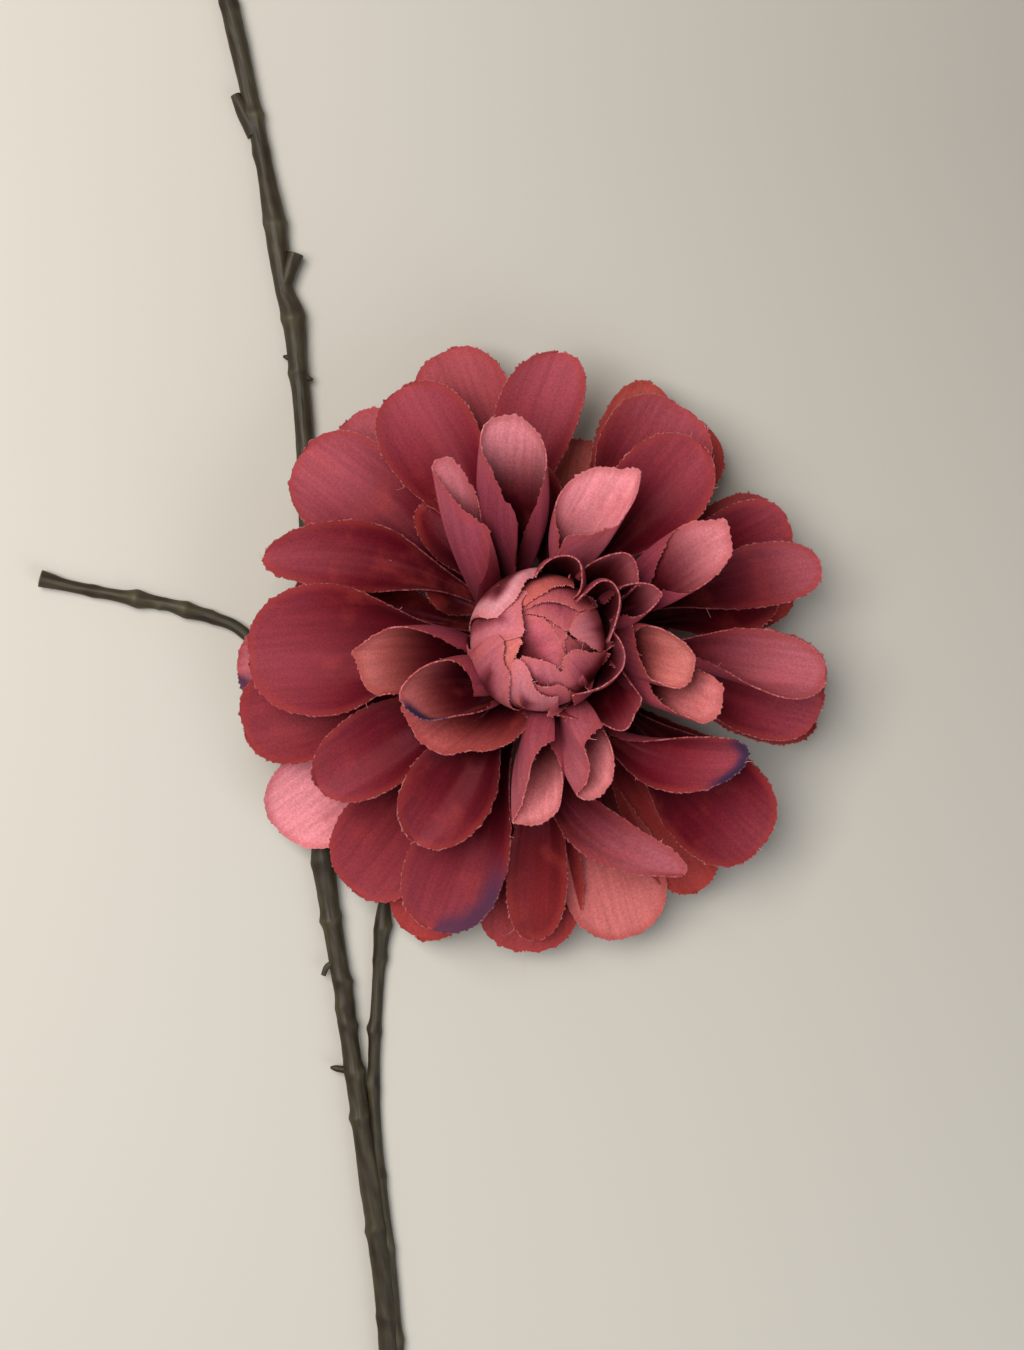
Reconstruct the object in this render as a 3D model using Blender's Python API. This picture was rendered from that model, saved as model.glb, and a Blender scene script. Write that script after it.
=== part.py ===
# An artificial dahlia lying on its back: a bloom of pressed fabric petals on a moulded twig.
# Lengths are in millimetres and angles in degrees; the last step turns lengths into metres.
# Seen from above, 0 degrees points right (+X) and 90 up (+Y); heights are over the surface.
import math
from dataclasses import dataclass

import bmesh
import bpy
import numpy as np

MM = 0.001
UP = np.array([0.0, 0.0, 1.0])

# petals
PETAL_THICKNESS = 0.7
TOUCHING = -0.8        # tip height of the petals that the bloom lies on
END_SHARE = 0.985      # a petal's last row, as a share of its length
CLAW = 0.2             # width at a petal's foot, as a share of its greatest
STAGGER = 1.1          # every other petal's foot is this much higher, the rest lower

# receptacle, under the petals
CORE_RADIUS = 14.0
CORE_BOTTOM = 14.0
CORE_TOP = 33.0
FIT_GAP = 0.3

# bud
BUD_CENTRE = np.array([-1.5, -0.6, 41.5])
BUD_CORE_RADIUS = 13.0
SCALE_FOOT = 100.0     # where a scale starts, degrees from the pole
SCALE_ROOT = 12.5      # a scale's underside, inside the core

# calyx
PEG_RADIUS = 2.5
PEG_TOP = 20.0
SOCKET_TOP = 10.8
CALYX_BOTTOM = 7.0
SEPALS = 8
SEPAL_LENGTH = 12.0
SEPAL_WIDTH = 6.4
SEPAL_THICKNESS = 0.9

# stem
LIMB_TOP = 10.5
LIMB_TOP_RADIUS = 2.4
BORE_RADIUS = 1.2
BORE_DEPTH = 5.0
WIRE_RADIUS = 0.7
WIRE_BORE_RADIUS = 1.0
WIRE_BORE_DEPTH = 9.0
WIRE_OUT = 3.0


@dataclass
class Petal:
    """One petal, by where its tip is and how its cross-section turns."""
    toward: float              # direction of the tip
    reach: float               # tip's distance from the flower's axis
    tip_height: float
    width: float
    turn: float = 0.0          # foot's direction less the tip's
    bend: float = 0.0          # sideways bow, anticlockwise
    cup: tuple = None          # turn of the cross-section at the foot and at the tip
    open_at: float = 0.5       # share of the length where one cup goes over to the other
    curl: tuple = (0.0, 0.0)   # extra turn of the anticlockwise and the clockwise margin
    shut_to: float = 0.35      # share of the length up to which the curl holds
    roll: float = 0.0          # whole petal, anticlockwise margin lifted
    point: float = 0.0         # length of a pointed tip
    widest: float = 0.68       # share of the length where it is widest


@dataclass
class Tier:
    """What the petals of one tier share."""
    foot_radius: float
    foot_height: float
    rise: float                # slope at the foot
    cup: tuple
    rows: int
    columns: int
    petals: list


@dataclass
class Scale:
    """One of the curved petals that wrap the bud."""
    toward: float      # direction of its foot
    stops: float       # its free edge, degrees from the pole, negative past it
    half_angle: float
    radius: float
    turn: float = 0.0


BACK = Tier(10.0, 17.0, 8.0, (80.0, 26.0), 4, 3, [
    Petal(10, 60, 10, 16),
    Petal(29, 66, TOUCHING, 19),
    Petal(50.5, 66.5, 9, 25),
    Petal(65.5, 68, TOUCHING, 22),
    Petal(79, 50, 8, 20),
    Petal(109, 74.5, TOUCHING, 25),
    Petal(131.5, 73, 10, 23),
    Petal(186, 76.5, 8, 25),
    Petal(215, 81, 9, 27, roll=-14),
    Petal(232, 77.5, 12, 27),
    Petal(246, 80, 8, 23),
    Petal(266.5, 77, TOUCHING, 27),
    Petal(285.5, 76, 12, 24.5),
    Petal(302.5, 72.5, TOUCHING, 19),
    Petal(320, 71.5, 10, 25),
    Petal(340, 68.5, TOUCHING, 18),
    Petal(352, 71, 12, 22),
])
OUTER = Tier(10.0, 20.5, 16.0, (130.0, 34.0), 5, 3, [
    Petal(14, 61, 14, 17),
    Petal(17, 69, 22, 18),
    Petal(26, 66, 17, 20),
    Petal(60, 67, 20, 28),
    Petal(90, 69.5, 22, 22),
    Petal(117.5, 70, 22, 26),
    Petal(141.5, 74.5, 19, 28),
    Petal(161.5, 71, 24, 21.5, bend=-2),
    Petal(168, 62.5, 14, 22),
    Petal(196, 77.5, 17, 26),
    Petal(248.5, 75, 22, 25),
    Petal(270, 74, 17, 20, cup=(130, 60)),
    Petal(315, 72, 20, 27),
    Petal(350, 69, 20, 23),
])
MIDDLE = Tier(10.5, 23.5, 26.0, (150.0, 50.0), 5, 4, [
    Petal(50.8, 59, 31, 25),
    Petal(183, 71, 27, 31.5, turn=-6, cup=(150, 34)),
    Petal(213, 64.5, 30, 21, cup=(150, 70)),
    Petal(237.5, 57, 34, 22.5),
    Petal(300.7, 63.5, 26, 22, curl=(0, 90)),
    Petal(329.5, 53.5, 34, 20, curl=(60, 0)),
    Petal(356, 66.5, 27, 22, curl=(0, 110)),
])
INNER = Tier(11.5, 25.0, 50.0, (200.0, 90.0), 7, 4, [
    Petal(22.5, 27.5, 44, 11.5, cup=(240, 80), open_at=0.4),
    Petal(29, 46.5, 46, 19, turn=10, cup=(280, 75), roll=14, open_at=0.45, point=1.5),
    Petal(44, 26.5, 44, 15, cup=(240, 80), open_at=0.35),
    Petal(61, 42, 50, 20.5, turn=45, cup=(280, 80), roll=-24, open_at=0.42, point=2),
    Petal(100, 50.5, 52, 19, turn=42, cup=(280, 95), open_at=0.48),
    Petal(121, 47, 50, 19, turn=50, cup=(120, 40), curl=(140, 0), shut_to=0.5),
    Petal(184, 43.5, 43, 19, turn=-4, cup=(280, 65), open_at=0.42, point=1.5),
    Petal(203, 35, 48, 22, turn=-10, cup=(280, 130), roll=30, open_at=0.45),
    Petal(230, 34.5, 40, 31, turn=-50, cup=(200, 85), roll=15, open_at=0.35, widest=0.75),
    Petal(263, 42.8, 43, 17.5, turn=30, cup=(120, 40), curl=(0, 140), shut_to=0.5),
    Petal(283.5, 38.3, 46, 17.5, cup=(120, 40), curl=(0, 140), shut_to=0.5),
    Petal(314, 28, 40, 20, cup=(240, 80), roll=-20, open_at=0.4),
    Petal(337, 42.5, 43, 19, turn=75, cup=(120, 40), curl=(0, 130), shut_to=0.5),
    Petal(346, 33, 50, 19.5, turn=15, cup=(280, 110)),
])
COLLAR = Tier(12.5, 27.0, 78.0, (130.0, 150.0), 6, 4, [
    Petal(33, 19.8, 54, 19),
    Petal(80, 19.6, 55, 19),
    Petal(337, 19.4, 52, 26, cup=(90, 110)),
])
TIERS = [BACK, OUTER, MIDDLE, INNER, COLLAR]

BUD_SCALES = [
    Scale(131, 41, 36, 16.3),
    Scale(207, 32, 32, 16.3),
    Scale(252, 33, 38, 16.0, turn=-8),
    Scale(18, 26, 30, 15.9),
    Scale(85, 42, 34, 15.7),
    Scale(328, 24, 34, 15.4),
    Scale(285, 37, 32, 15.3),
    Scale(150, 20, 44, 15.2),
    Scale(212, 21, 30, 15.0),
    Scale(68, 33, 38, 14.8),
    Scale(287, 20, 36, 14.6),
    Scale(50, 14, 36, 14.1),
    Scale(190, -17, 36, 13.7),
]

# the twig's courses: x, y, height of the middle, radius
LONG_LIMB = [
    (-84.5, 190, 2.1, 1.7), (-81, 168, 2.2, 1.9), (-77.7, 154.2, 2.4, 2.4), (-73.7, 136.4, 2.4, 2.1),
    (-70.2, 119.6, 2.4, 2.1), (-67.6, 104.8, 2.7, 2.7), (-65.4, 89.2, 2.5, 2.3), (-62.9, 81.2, 2.8, 2.8),
    (-61.6, 67.9, 2.5, 2.3), (-60.1, 50.4, 2.4, 2.2), (-58.6, 10, 2.4, 2.2), (-56.6, -35, 2.5, 2.3),
    (-55.1, -55.9, 2.8, 2.8), (-53.4, -69.4, 2.6, 2.5), (-50.4, -87.2, 2.5, 2.3), (-48.9, -99, 2.5, 2.3),
    (-45.8, -121, 2.5, 2.4), (-43.6, -136.3, 2.6, 2.6), (-40.8, -157.6, 2.5, 2.4),
    (-39.0, -177.7, 2.5, 2.4), (-36.5, -210, 2.5, 2.4), (-34, -248, 2.5, 2.4)]
FLOWER_LIMB = [
    (-31.8, -248, 1.7, 1.5), (-34.3, -210, 1.7, 1.5), (-36.8, -177.7, 1.7, 1.5), (-38.5, -157.6, 1.7, 1.5),
    (-41.1, -136.3, 1.8, 1.6), (-42.4, -121, 1.7, 1.5), (-42.7, -110, 1.7, 1.5), (-42.5, -100, 1.7, 1.5),
    (-41.6, -84, 1.7, 1.5), (-40.6, -71.9, 2.0, 2.0), (-39.6, -63.9, 1.7, 1.5), (-36, -52, 1.7, 1.5),
    (-28, -37, 1.8, 1.6), (-16, -20, 2.1, 1.8), (-7.5, -9, 2.4, 2.0), (-3.4, -4.1, 2.6, 2.2),
    (-0.8, -1.0, 4.3, 2.3), (0, 0, 6.6, 2.4), (0, 0, 8.4, 2.4), (0, 0, LIMB_TOP, LIMB_TOP_RADIUS)]
SIDE_TWIG = [
    (-56.8, -38, 2.4, 1.7), (-61, -20, 2.0, 1.6), (-68, -6, 1.9, 1.5), (-76.2, 2.8, 1.9, 1.5),
    (-83.4, 6, 1.9, 1.5), (-89.7, 7.8, 2.0, 1.9), (-95.7, 9.5, 1.9, 1.5), (-102, 10.5, 2.0, 2.0),
    (-108, 11.6, 1.9, 1.5), (-119, 13.8, 1.9, 1.5), (-124, 15.1, 2.1, 1.9), (-126.4, 15.7, 2.3, 2.2)]
UPPER_STUB = [(-72.6, 127, 2.4, 1.9), (-75.4, 132.8, 2.5, 1.8), (-77.4, 137, 2.6, 1.3)]
OPEN_STUB = [(-65.6, 88, 2.8, 2.0), (-63.6, 93.2, 3.0, 1.8), (-62.2, 97.2, 3.1, 2.1)]
HOOK = [(-51.9, -80.6, 2.7, 1.0), (-54.3, -81.6, 3.0, 0.8), (-55.3, -83.8, 3.2, 0.6)]
SPURS = [(-61.9, 70.5, 165), (-61.4, 66.5, -15), (-50.0, -107.5, 170), (-47.6, -116.4, 10)]
SPUR_LENGTH = 3.6
SPUR_RADIUS = 0.8


def polar(angle, radius, height):
    turn = math.radians(angle)
    return np.array([radius * math.cos(turn), radius * math.sin(turn), height])


def ease(x):
    x = np.clip(x, 0.0, 1.0)
    return x * x * (3.0 - 2.0 * x)


def half_width(share, widest, foot):
    """Half width of a blade along its length, as a share of its greatest."""
    grown = np.sin(0.5 * np.pi * np.clip(share / widest, 0, 1)) ** 1.7
    rounding = np.clip((share - widest) / (1 - widest), 0, 1)
    return np.where(share < widest, foot + (1 - foot) * grown, np.sqrt(1 - rounding ** 2.2))


def blade_shares(rows):
    """Shares of a blade's length, closer together towards its round end."""
    return 1 - (1 - np.linspace(0, END_SHARE, rows + 1)) ** 1.6


def petal_grid(petal, tier, foot_height):
    """The petal's middle surface: rows along it, columns from clockwise to anticlockwise."""
    share = blade_shares(tier.rows)
    foot = polar(petal.toward + petal.turn, tier.foot_radius, foot_height)
    tip = polar(petal.toward, petal.reach, petal.tip_height)
    outward = (tip - foot) * (1, 1, 0)
    outward /= np.linalg.norm(outward)
    across = np.cross(UP, outward)
    slope = math.radians(tier.rise)
    knee = foot + 0.5 * np.linalg.norm(tip - foot) * (math.cos(slope) * outward + math.sin(slope) * UP)
    s = share[:, None]
    middle = (1 - s) ** 2 * foot + 2 * s * (1 - s) * knee + s ** 2 * tip
    middle = middle + across * 4 * petal.bend * s * (1 - s)
    along = 2 * (1 - s) * (knee - foot) + 2 * s * (tip - knee)
    along /= np.linalg.norm(along, axis=1, keepdims=True)
    facing = np.cross(along, across)
    roll = math.radians(petal.roll) * ease(1.5 * s)
    side = across * np.cos(roll) + facing * np.sin(roll)
    facing = facing * np.cos(roll) - across * np.sin(roll)

    # the cross-section's slope over t, from margin to margin, summed from the midrib outwards
    foot_cup, tip_cup = petal.cup or tier.cup
    cup = np.radians(foot_cup + (tip_cup - foot_cup) * ease((s - petal.open_at + 0.22) / 0.44))
    steps = 12 * tier.columns
    t = np.linspace(-1, 1, steps + 1)
    curl = np.where(t > 0, petal.curl[0], -petal.curl[1]) * ease((np.abs(t) - 0.12) / 0.63)
    held = ease(s / 0.2) * (1 - ease((s - petal.shut_to) / (1.12 - petal.shut_to)))
    angle = 0.5 * cup * t + np.radians(curl) * held
    half = 0.5 * petal.width * half_width(share, petal.widest, CLAW)[:, None]

    def summed(values):
        total = np.cumsum((values[:, 1:] + values[:, :-1]) / steps, axis=1)
        total = np.concatenate([np.zeros((len(share), 1)), total], axis=1)
        return half * (total - total[:, steps // 2][:, None])

    kept = slice(None, None, 12)
    sideways = summed(np.cos(angle))[:, kept, None]
    raised = summed(np.sin(angle))[:, kept, None]
    tip_length = petal.point * np.exp(-(sideways / 2.2) ** 2) * ease((s - 0.7) / 0.3)[:, None]
    return (middle[:, None] + side[:, None] * sideways + facing[:, None] * raised
            + along[:, None] * tip_length)


def scale_grid(scale, radius, rows=6, columns=4):
    """A patch on the bud's ball, from its foot over towards the pole."""
    s = blade_shares(rows)[:, None]
    t = np.linspace(-1, 1, columns + 1)[None, :]
    outward = polar(scale.toward, 1, 0)
    across = np.cross(UP, outward)
    from_pole = np.radians(SCALE_FOOT + (scale.stops - SCALE_FOOT) * s)
    aside = np.radians(scale.half_angle * half_width(s, 0.6, 0.5) * t + scale.turn * s ** 2)
    ray = ((np.cos(aside) * np.sin(from_pole))[..., None] * outward + np.sin(aside)[..., None] * across
           + (np.cos(aside) * np.cos(from_pole))[..., None] * UP)
    return BUD_CENTRE + radius * ray


def closed_sheet(upper, lower):
    """Corners and triangles of the solid between two grids, split alike on both faces."""
    rows, columns = upper.shape[:2]
    corners = np.concatenate([upper.reshape(-1, 3), lower.reshape(-1, 3)])
    under = rows * columns
    triangles = []

    def wall(a, b):
        triangles.extend([(a, b, b + under), (a, b + under, a + under)])

    for i in range(rows - 1):
        for j in range(columns - 1):
            a = i * columns + j
            b, c, d = a + columns, a + columns + 1, a + 1
            triangles.extend([(a, b, c), (a, c, d)])
            triangles.extend([(a + under, c + under, b + under), (a + under, d + under, c + under)])
        wall((i + 1) * columns, i * columns)
        wall(i * columns + columns - 1, (i + 1) * columns + columns - 1)
    for j in range(columns - 1):
        wall(j, j + 1)
        wall((rows - 1) * columns + j + 1, (rows - 1) * columns + j)
    return corners, triangles


def thick_sheet(grid, thickness):
    normal = np.cross(np.gradient(grid, axis=0), np.gradient(grid, axis=1))
    normal /= np.linalg.norm(normal, axis=2, keepdims=True)
    upper = grid + 0.5 * thickness * normal
    lower = grid - 0.5 * thickness * normal
    return closed_sheet(upper, lower)


def tube(course, sides=10, step=8.0):
    """A rod along smooth curves through the course's points, with its ends closed."""
    points = [np.array(point, dtype=float) for point in course]
    rings = []
    for i in range(len(points) - 1):
        before, start = points[max(i - 1, 0)], points[i]
        end, after = points[i + 1], points[min(i + 2, len(points) - 1)]
        parts = max(1, round(np.linalg.norm((end - start)[:3]) / step))
        for u in np.arange(parts) / parts:
            rings.append(0.5 * (2 * start + (end - before) * u + (2 * before - 5 * start + 4 * end - after) * u ** 2
                                + (3 * start - before - 3 * end + after) * u ** 3))
    rings.append(points[-1])
    rings = np.array(rings)
    along = np.gradient(rings[:, :3], axis=0)
    along /= np.linalg.norm(along, axis=1, keepdims=True)
    side = np.cross(along[0], (0.1, 0.2, 1.0))
    corners = []
    for ring, heading in zip(rings, along):
        side = side - heading * (side @ heading)
        side /= np.linalg.norm(side)
        other = np.cross(heading, side)
        for k in range(sides):
            a = 2 * math.pi * k / sides
            corners.append(ring[:3] + ring[3] * (math.cos(a) * side + math.sin(a) * other))
    faces = [tuple(range(sides))[::-1], tuple(len(corners) - sides + k for k in range(sides))]
    for i in range(0, len(corners) - sides, sides):
        for k in range(sides):
            n = (k + 1) % sides
            faces.append((i + k, i + n, i + sides + n, i + sides + k))
    return np.array(corners), faces


def turned(profile, sides=32):
    """A body of revolution about Z; the profile's (radius, height) points run up its outside."""
    corners = [(0, 0, profile[0][1])]
    faces = []
    for radius, height in profile:
        for k in range(sides):
            corners.append(tuple(polar(360 * k / sides, radius, height)))
    corners.append((0, 0, profile[-1][1]))
    top = len(corners) - 1
    for k in range(sides):
        n = (k + 1) % sides
        faces.append((0, 1 + n, 1 + k))
        faces.append((top, top - sides + k, top - sides + n))
        for i in range(len(profile) - 1):
            a = 1 + i * sides
            faces.append((a + k, a + n, a + sides + n, a + sides + k))
    return np.array(corners), faces


def add(name, shape, material, shift=(0, 0, 0)):
    corners, faces = shape
    mesh = bpy.data.meshes.new(name)
    mesh.from_pydata([tuple(corner) for corner in (corners + np.array(shift)) * MM], [], faces)
    mesh.materials.append(material)
    thing = bpy.data.objects.new(name, mesh)
    bpy.context.scene.collection.objects.link(thing)
    return thing


def solid_after(thing, operation, others, solver="EXACT"):
    """Joins the others to the thing, or cuts them out of it, and removes them."""
    group = bpy.data.collections.new("others")
    bpy.context.scene.collection.children.link(group)
    for other in others:
        bpy.context.scene.collection.objects.unlink(other)
        group.objects.link(other)
    step = thing.modifiers.new(operation, "BOOLEAN")
    step.operation = operation
    step.operand_type = "COLLECTION"
    step.collection = group
    step.solver = solver
    graph = bpy.context.evaluated_depsgraph_get()
    mesh = bpy.data.meshes.new_from_object(thing.evaluated_get(graph))
    thing.modifiers.clear()
    thing.data = mesh
    for other in others:
        bpy.data.objects.remove(other)
    bpy.data.collections.remove(group)


def keep_largest_shell(thing):
    """Drops the loose scraps, and the closed pockets, that joining many petals leaves."""
    edit = bmesh.new()
    edit.from_mesh(thing.data)
    unseen = set(edit.verts)
    shells = []
    while unseen:
        shell = {unseen.pop()}
        reached = list(shell)
        while reached:
            corner = reached.pop()
            found = {edge.other_vert(corner) for edge in corner.link_edges} & unseen
            unseen -= found
            shell |= found
            reached.extend(found)
        shells.append(shell)
    shells.sort(key=len)
    for shell in shells[:-1]:
        bmesh.ops.delete(edit, geom=list(shell), context="VERTS")
    edit.to_mesh(thing.data)
    edit.free()


def plain_material(name, colour, roughness, metallic=0.0):
    material = bpy.data.materials.new(name)
    material.use_nodes = True
    shader = material.node_tree.nodes["Principled BSDF"]
    shader.inputs["Base Color"].default_value = (*colour, 1)
    shader.inputs["Roughness"].default_value = roughness
    shader.inputs["Metallic"].default_value = metallic
    return material


def add_bloom(material):
    """Petals sunk in the receptacle, which has a seat for the bud and a hole for the peg."""
    core = [(11.5, CORE_BOTTOM), (CORE_RADIUS, 18), (CORE_RADIUS, 28), (13.2, CORE_TOP)]
    bloom = add("bloom", turned(core), material)
    petals = []
    for tier in TIERS:
        for index, petal in enumerate(tier.petals):
            foot_height = tier.foot_height + (STAGGER if index % 2 else -STAGGER)
            corners, triangles = thick_sheet(petal_grid(petal, tier, foot_height), PETAL_THICKNESS)
            half = len(corners) // 2
            corners[:half, 2] = np.maximum(corners[:half, 2], 0.6 * PETAL_THICKNESS)
            corners[half:, 2] = np.maximum(corners[half:, 2], 0)
            petals.append(add("petal", (corners, triangles), material))
    solid_after(bloom, "UNION", petals, "MANIFOLD")
    ball = BUD_CORE_RADIUS + FIT_GAP
    largest = max(scale.radius for scale in BUD_SCALES) + FIT_GAP
    seat = [(ball * math.sin(a), -ball * math.cos(a)) for a in np.radians(np.linspace(8, 64, 8))]
    cage = [(largest * math.sin(a), -largest * math.cos(a)) for a in np.radians(np.linspace(76, 172, 12))]
    cutter = add("bud_room", turned(seat + cage), material, BUD_CENTRE)
    hole = add("peg_hole", turned([(PEG_RADIUS + FIT_GAP, 0), (PEG_RADIUS + FIT_GAP, PEG_TOP + FIT_GAP)], 16),
               material)
    solid_after(bloom, "DIFFERENCE", [cutter, hole], "MANIFOLD")
    keep_largest_shell(bloom)
    return bloom


def add_bud(material):
    """A ball wrapped in curved petals."""
    ball = [(BUD_CORE_RADIUS * math.sin(a), -BUD_CORE_RADIUS * math.cos(a))
            for a in np.radians(np.linspace(8, 172, 12))]
    bud = add("bud", turned(ball, 20), material, BUD_CENTRE)
    scales = [add("scale", closed_sheet(scale_grid(scale, SCALE_ROOT), scale_grid(scale, scale.radius)), material)
              for scale in BUD_SCALES]
    solid_after(bud, "UNION", scales, "MANIFOLD")
    return bud


def add_calyx(material):
    """A cup with sepals under the bloom, a peg up into it and a socket for the flower limb."""
    cup_top = CORE_BOTTOM - FIT_GAP
    cup = [(4.2, CALYX_BOTTOM), (4.9, 8.4), (7, 10.6), (10.5, 12.6), (11, cup_top),
           (PEG_RADIUS, cup_top), (PEG_RADIUS, PEG_TOP)]
    calyx = add("calyx", turned(cup, 20), material)
    sepals = []
    for k in range(SEPALS):
        s = blade_shares(4)[:, None]
        t = np.linspace(-1, 1, 4)[None, :]
        out = 7.5 + SEPAL_LENGTH * s
        aside = 0.5 * SEPAL_WIDTH * half_width(s, 0.35, 0.7) * (1 - 0.5 * s) * t
        height = 10.6 + 2.4 * ease(s) - 2.6 * s ** 3 + 0.5 * t ** 2
        angle = math.radians(360 * (k + 0.5) / SEPALS)
        grid = np.stack([out * math.cos(angle) - aside * math.sin(angle),
                         out * math.sin(angle) + aside * math.cos(angle), height], axis=-1)
        sepals.append(add("sepal", thick_sheet(grid, SEPAL_THICKNESS), material))
    solid_after(calyx, "UNION", sepals, "MANIFOLD")
    socket = [(LIMB_TOP_RADIUS + FIT_GAP, CALYX_BOTTOM - 1), (LIMB_TOP_RADIUS + FIT_GAP, SOCKET_TOP)]
    solid_after(calyx, "DIFFERENCE", [add("socket", turned(socket, 16), material)])
    return calyx


def rod_between(start, end, radius, sides=12):
    return tube([(*start, radius), (*end, radius)], sides, step=1000)


def bored(course, depth, beyond=2.0):
    """Start and end of a hole in a course's last end."""
    end = np.array(course[-1][:3])
    inward = np.array(course[-2][:3]) - end
    inward /= np.linalg.norm(inward)
    return end - beyond * inward, end + depth * inward


def add_stem(material):
    """One moulded twig: two limbs side by side at the cut end, a side twig and stubs."""
    stem = add("stem", tube(LONG_LIMB), material)
    limbs = [add("limb", tube(course), material)
             for course in (FLOWER_LIMB, SIDE_TWIG, UPPER_STUB, OPEN_STUB, HOOK)]
    for x, y, angle in SPURS:
        root = (x, y, 2.6, SPUR_RADIUS)
        tip = (*(np.array((x, y, 3.0)) + polar(angle, SPUR_LENGTH, 0)), 0.3)
        limbs.append(add("spur", tube([root, tip], 6), material))
    solid_after(stem, "UNION", limbs)
    holes = [rod_between(*bored(course, BORE_DEPTH), BORE_RADIUS) for course in (SIDE_TWIG, OPEN_STUB)]
    holes.append(rod_between(*bored(LONG_LIMB, WIRE_BORE_DEPTH), WIRE_BORE_RADIUS))
    solid_after(stem, "DIFFERENCE", [add("hole", hole, material) for hole in holes])
    return stem


def add_wire_end(material):
    """The end of the steel core, in its hole at the cut."""
    outside, inside = bored(LONG_LIMB, WIRE_BORE_DEPTH - FIT_GAP, WIRE_OUT)
    return add("wire_end", rod_between(outside, inside, WIRE_RADIUS), material)


def main():
    for thing in list(bpy.data.objects):
        bpy.data.objects.remove(thing)
    petal_fabric = plain_material("crimson_petal_fabric", (0.29, 0.045, 0.055), 0.85)
    bud_fabric = plain_material("rose_bud_fabric", (0.52, 0.16, 0.18), 0.85)
    green_plastic = plain_material("olive_brown_plastic", (0.045, 0.040, 0.020), 0.6)
    steel = plain_material("cut_steel_wire", (0.55, 0.55, 0.54), 0.35, 1.0)
    things = [add_bloom(petal_fabric), add_bud(bud_fabric), add_calyx(green_plastic),
              add_stem(green_plastic), add_wire_end(steel)]
    corners = np.array([corner.co for thing in things for corner in thing.data.vertices])
    centre = 0.5 * (corners.min(axis=0) + corners.max(axis=0))
    for thing in things:
        thing.location = (-centre[0], -centre[1], 0)
        thing.data.shade_smooth()
        thing.data.set_sharp_from_angle(angle=math.radians(40))


main()
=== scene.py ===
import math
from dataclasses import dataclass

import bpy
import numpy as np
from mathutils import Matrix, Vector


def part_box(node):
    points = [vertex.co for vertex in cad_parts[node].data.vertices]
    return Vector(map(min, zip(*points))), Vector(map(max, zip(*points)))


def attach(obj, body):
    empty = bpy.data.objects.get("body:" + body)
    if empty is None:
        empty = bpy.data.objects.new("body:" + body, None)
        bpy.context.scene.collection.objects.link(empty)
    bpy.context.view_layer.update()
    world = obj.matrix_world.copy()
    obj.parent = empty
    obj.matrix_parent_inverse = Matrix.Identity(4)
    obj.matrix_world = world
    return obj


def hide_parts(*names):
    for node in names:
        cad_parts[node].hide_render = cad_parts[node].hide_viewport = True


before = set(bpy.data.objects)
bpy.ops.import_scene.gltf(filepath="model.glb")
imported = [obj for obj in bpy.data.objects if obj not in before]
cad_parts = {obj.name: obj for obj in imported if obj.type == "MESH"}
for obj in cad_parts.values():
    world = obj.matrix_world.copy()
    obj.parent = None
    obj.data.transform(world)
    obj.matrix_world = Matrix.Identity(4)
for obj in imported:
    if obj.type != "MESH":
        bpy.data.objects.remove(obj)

# %% [markdown]
# # An artificial dahlia on a moulded twig
#
# The real thing is a fabric flower. Its petals are cut from dyed polyester satin, pressed to shape
# between hot dies, and threaded in layers on a moulded receptacle. The twig is soft plastic
# moulded round a steel wire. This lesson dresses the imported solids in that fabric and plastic.
# Lengths are in millimetres and become metres when a mesh is made.

MM = 0.001
UP = np.array([0.0, 0.0, 1.0])
FLOOR_GAP = 0.05           # millimetres that what lies on the floor keeps above it
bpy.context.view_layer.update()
calyx_low, calyx_high = (np.array(corner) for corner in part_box("calyx"))
AXIS = np.append(0.5 * (calyx_low + calyx_high)[:2], 0.0) / MM
print("flower axis at", AXIS.round(2), "mm; nodes", sorted(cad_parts))

# %% [markdown]
# ## Small helpers
#
# A petal is placed by directions and distances from the flower's axis, so one function turns
# those into a point. `ease` is the smooth step that most of the shapes below fade with.
# Colours are picked as sRGB hex values, and Blender's shaders want linear light, so one
# function does that conversion for every material.

# %% Geometry and colour helpers
def polar(angle, radius, height):
    turn = math.radians(angle)
    return np.array([radius * math.cos(turn), radius * math.sin(turn), height])


def ease(x):
    x = np.clip(x, 0.0, 1.0)
    return x * x * (3.0 - 2.0 * x)


def unit(vectors):
    return vectors / np.maximum(np.linalg.norm(vectors, axis=-1, keepdims=True), 1e-9)


def linear(code):
    """An sRGB hex colour as linear RGBA."""
    shares = [int(code[i:i + 2], 16) / 255 for i in (0, 2, 4)]
    return [s / 12.92 if s <= 0.04045 else ((s + 0.055) / 1.055) ** 2.4 for s in shares] + [1.0]


# %% A helper that adds one shader node
def node(material, kind, inputs=None, **settings):
    """Adds a node, sets its settings, and fills or links its inputs."""
    tree = material.node_tree
    made = tree.nodes.new(kind)
    for name, value in settings.items():
        setattr(made, name, value)
    for name, value in (inputs or {}).items():
        if isinstance(value, bpy.types.NodeSocket):
            tree.links.new(value, made.inputs[name])
        else:
            made.inputs[name].default_value = value
    return made


def new_material(name):
    """An empty material; its shader and output are added by the cell that describes it."""
    material = bpy.data.materials.new(name)
    material.use_nodes = True
    material.node_tree.nodes.clear()
    return material


print("helpers ready; crimson in linear light:", [round(v, 3) for v in linear("93242f")])

# %% [markdown]
# ## The camera
#
# The photograph looks straight into the bloom. The flower lies on its back here, so the camera
# looks straight down, with the top of the picture towards +Y. A phone's long lens is about
# 55 mm on a full frame, and 520 mm away it takes in the bloom and most of the twig.

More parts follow.
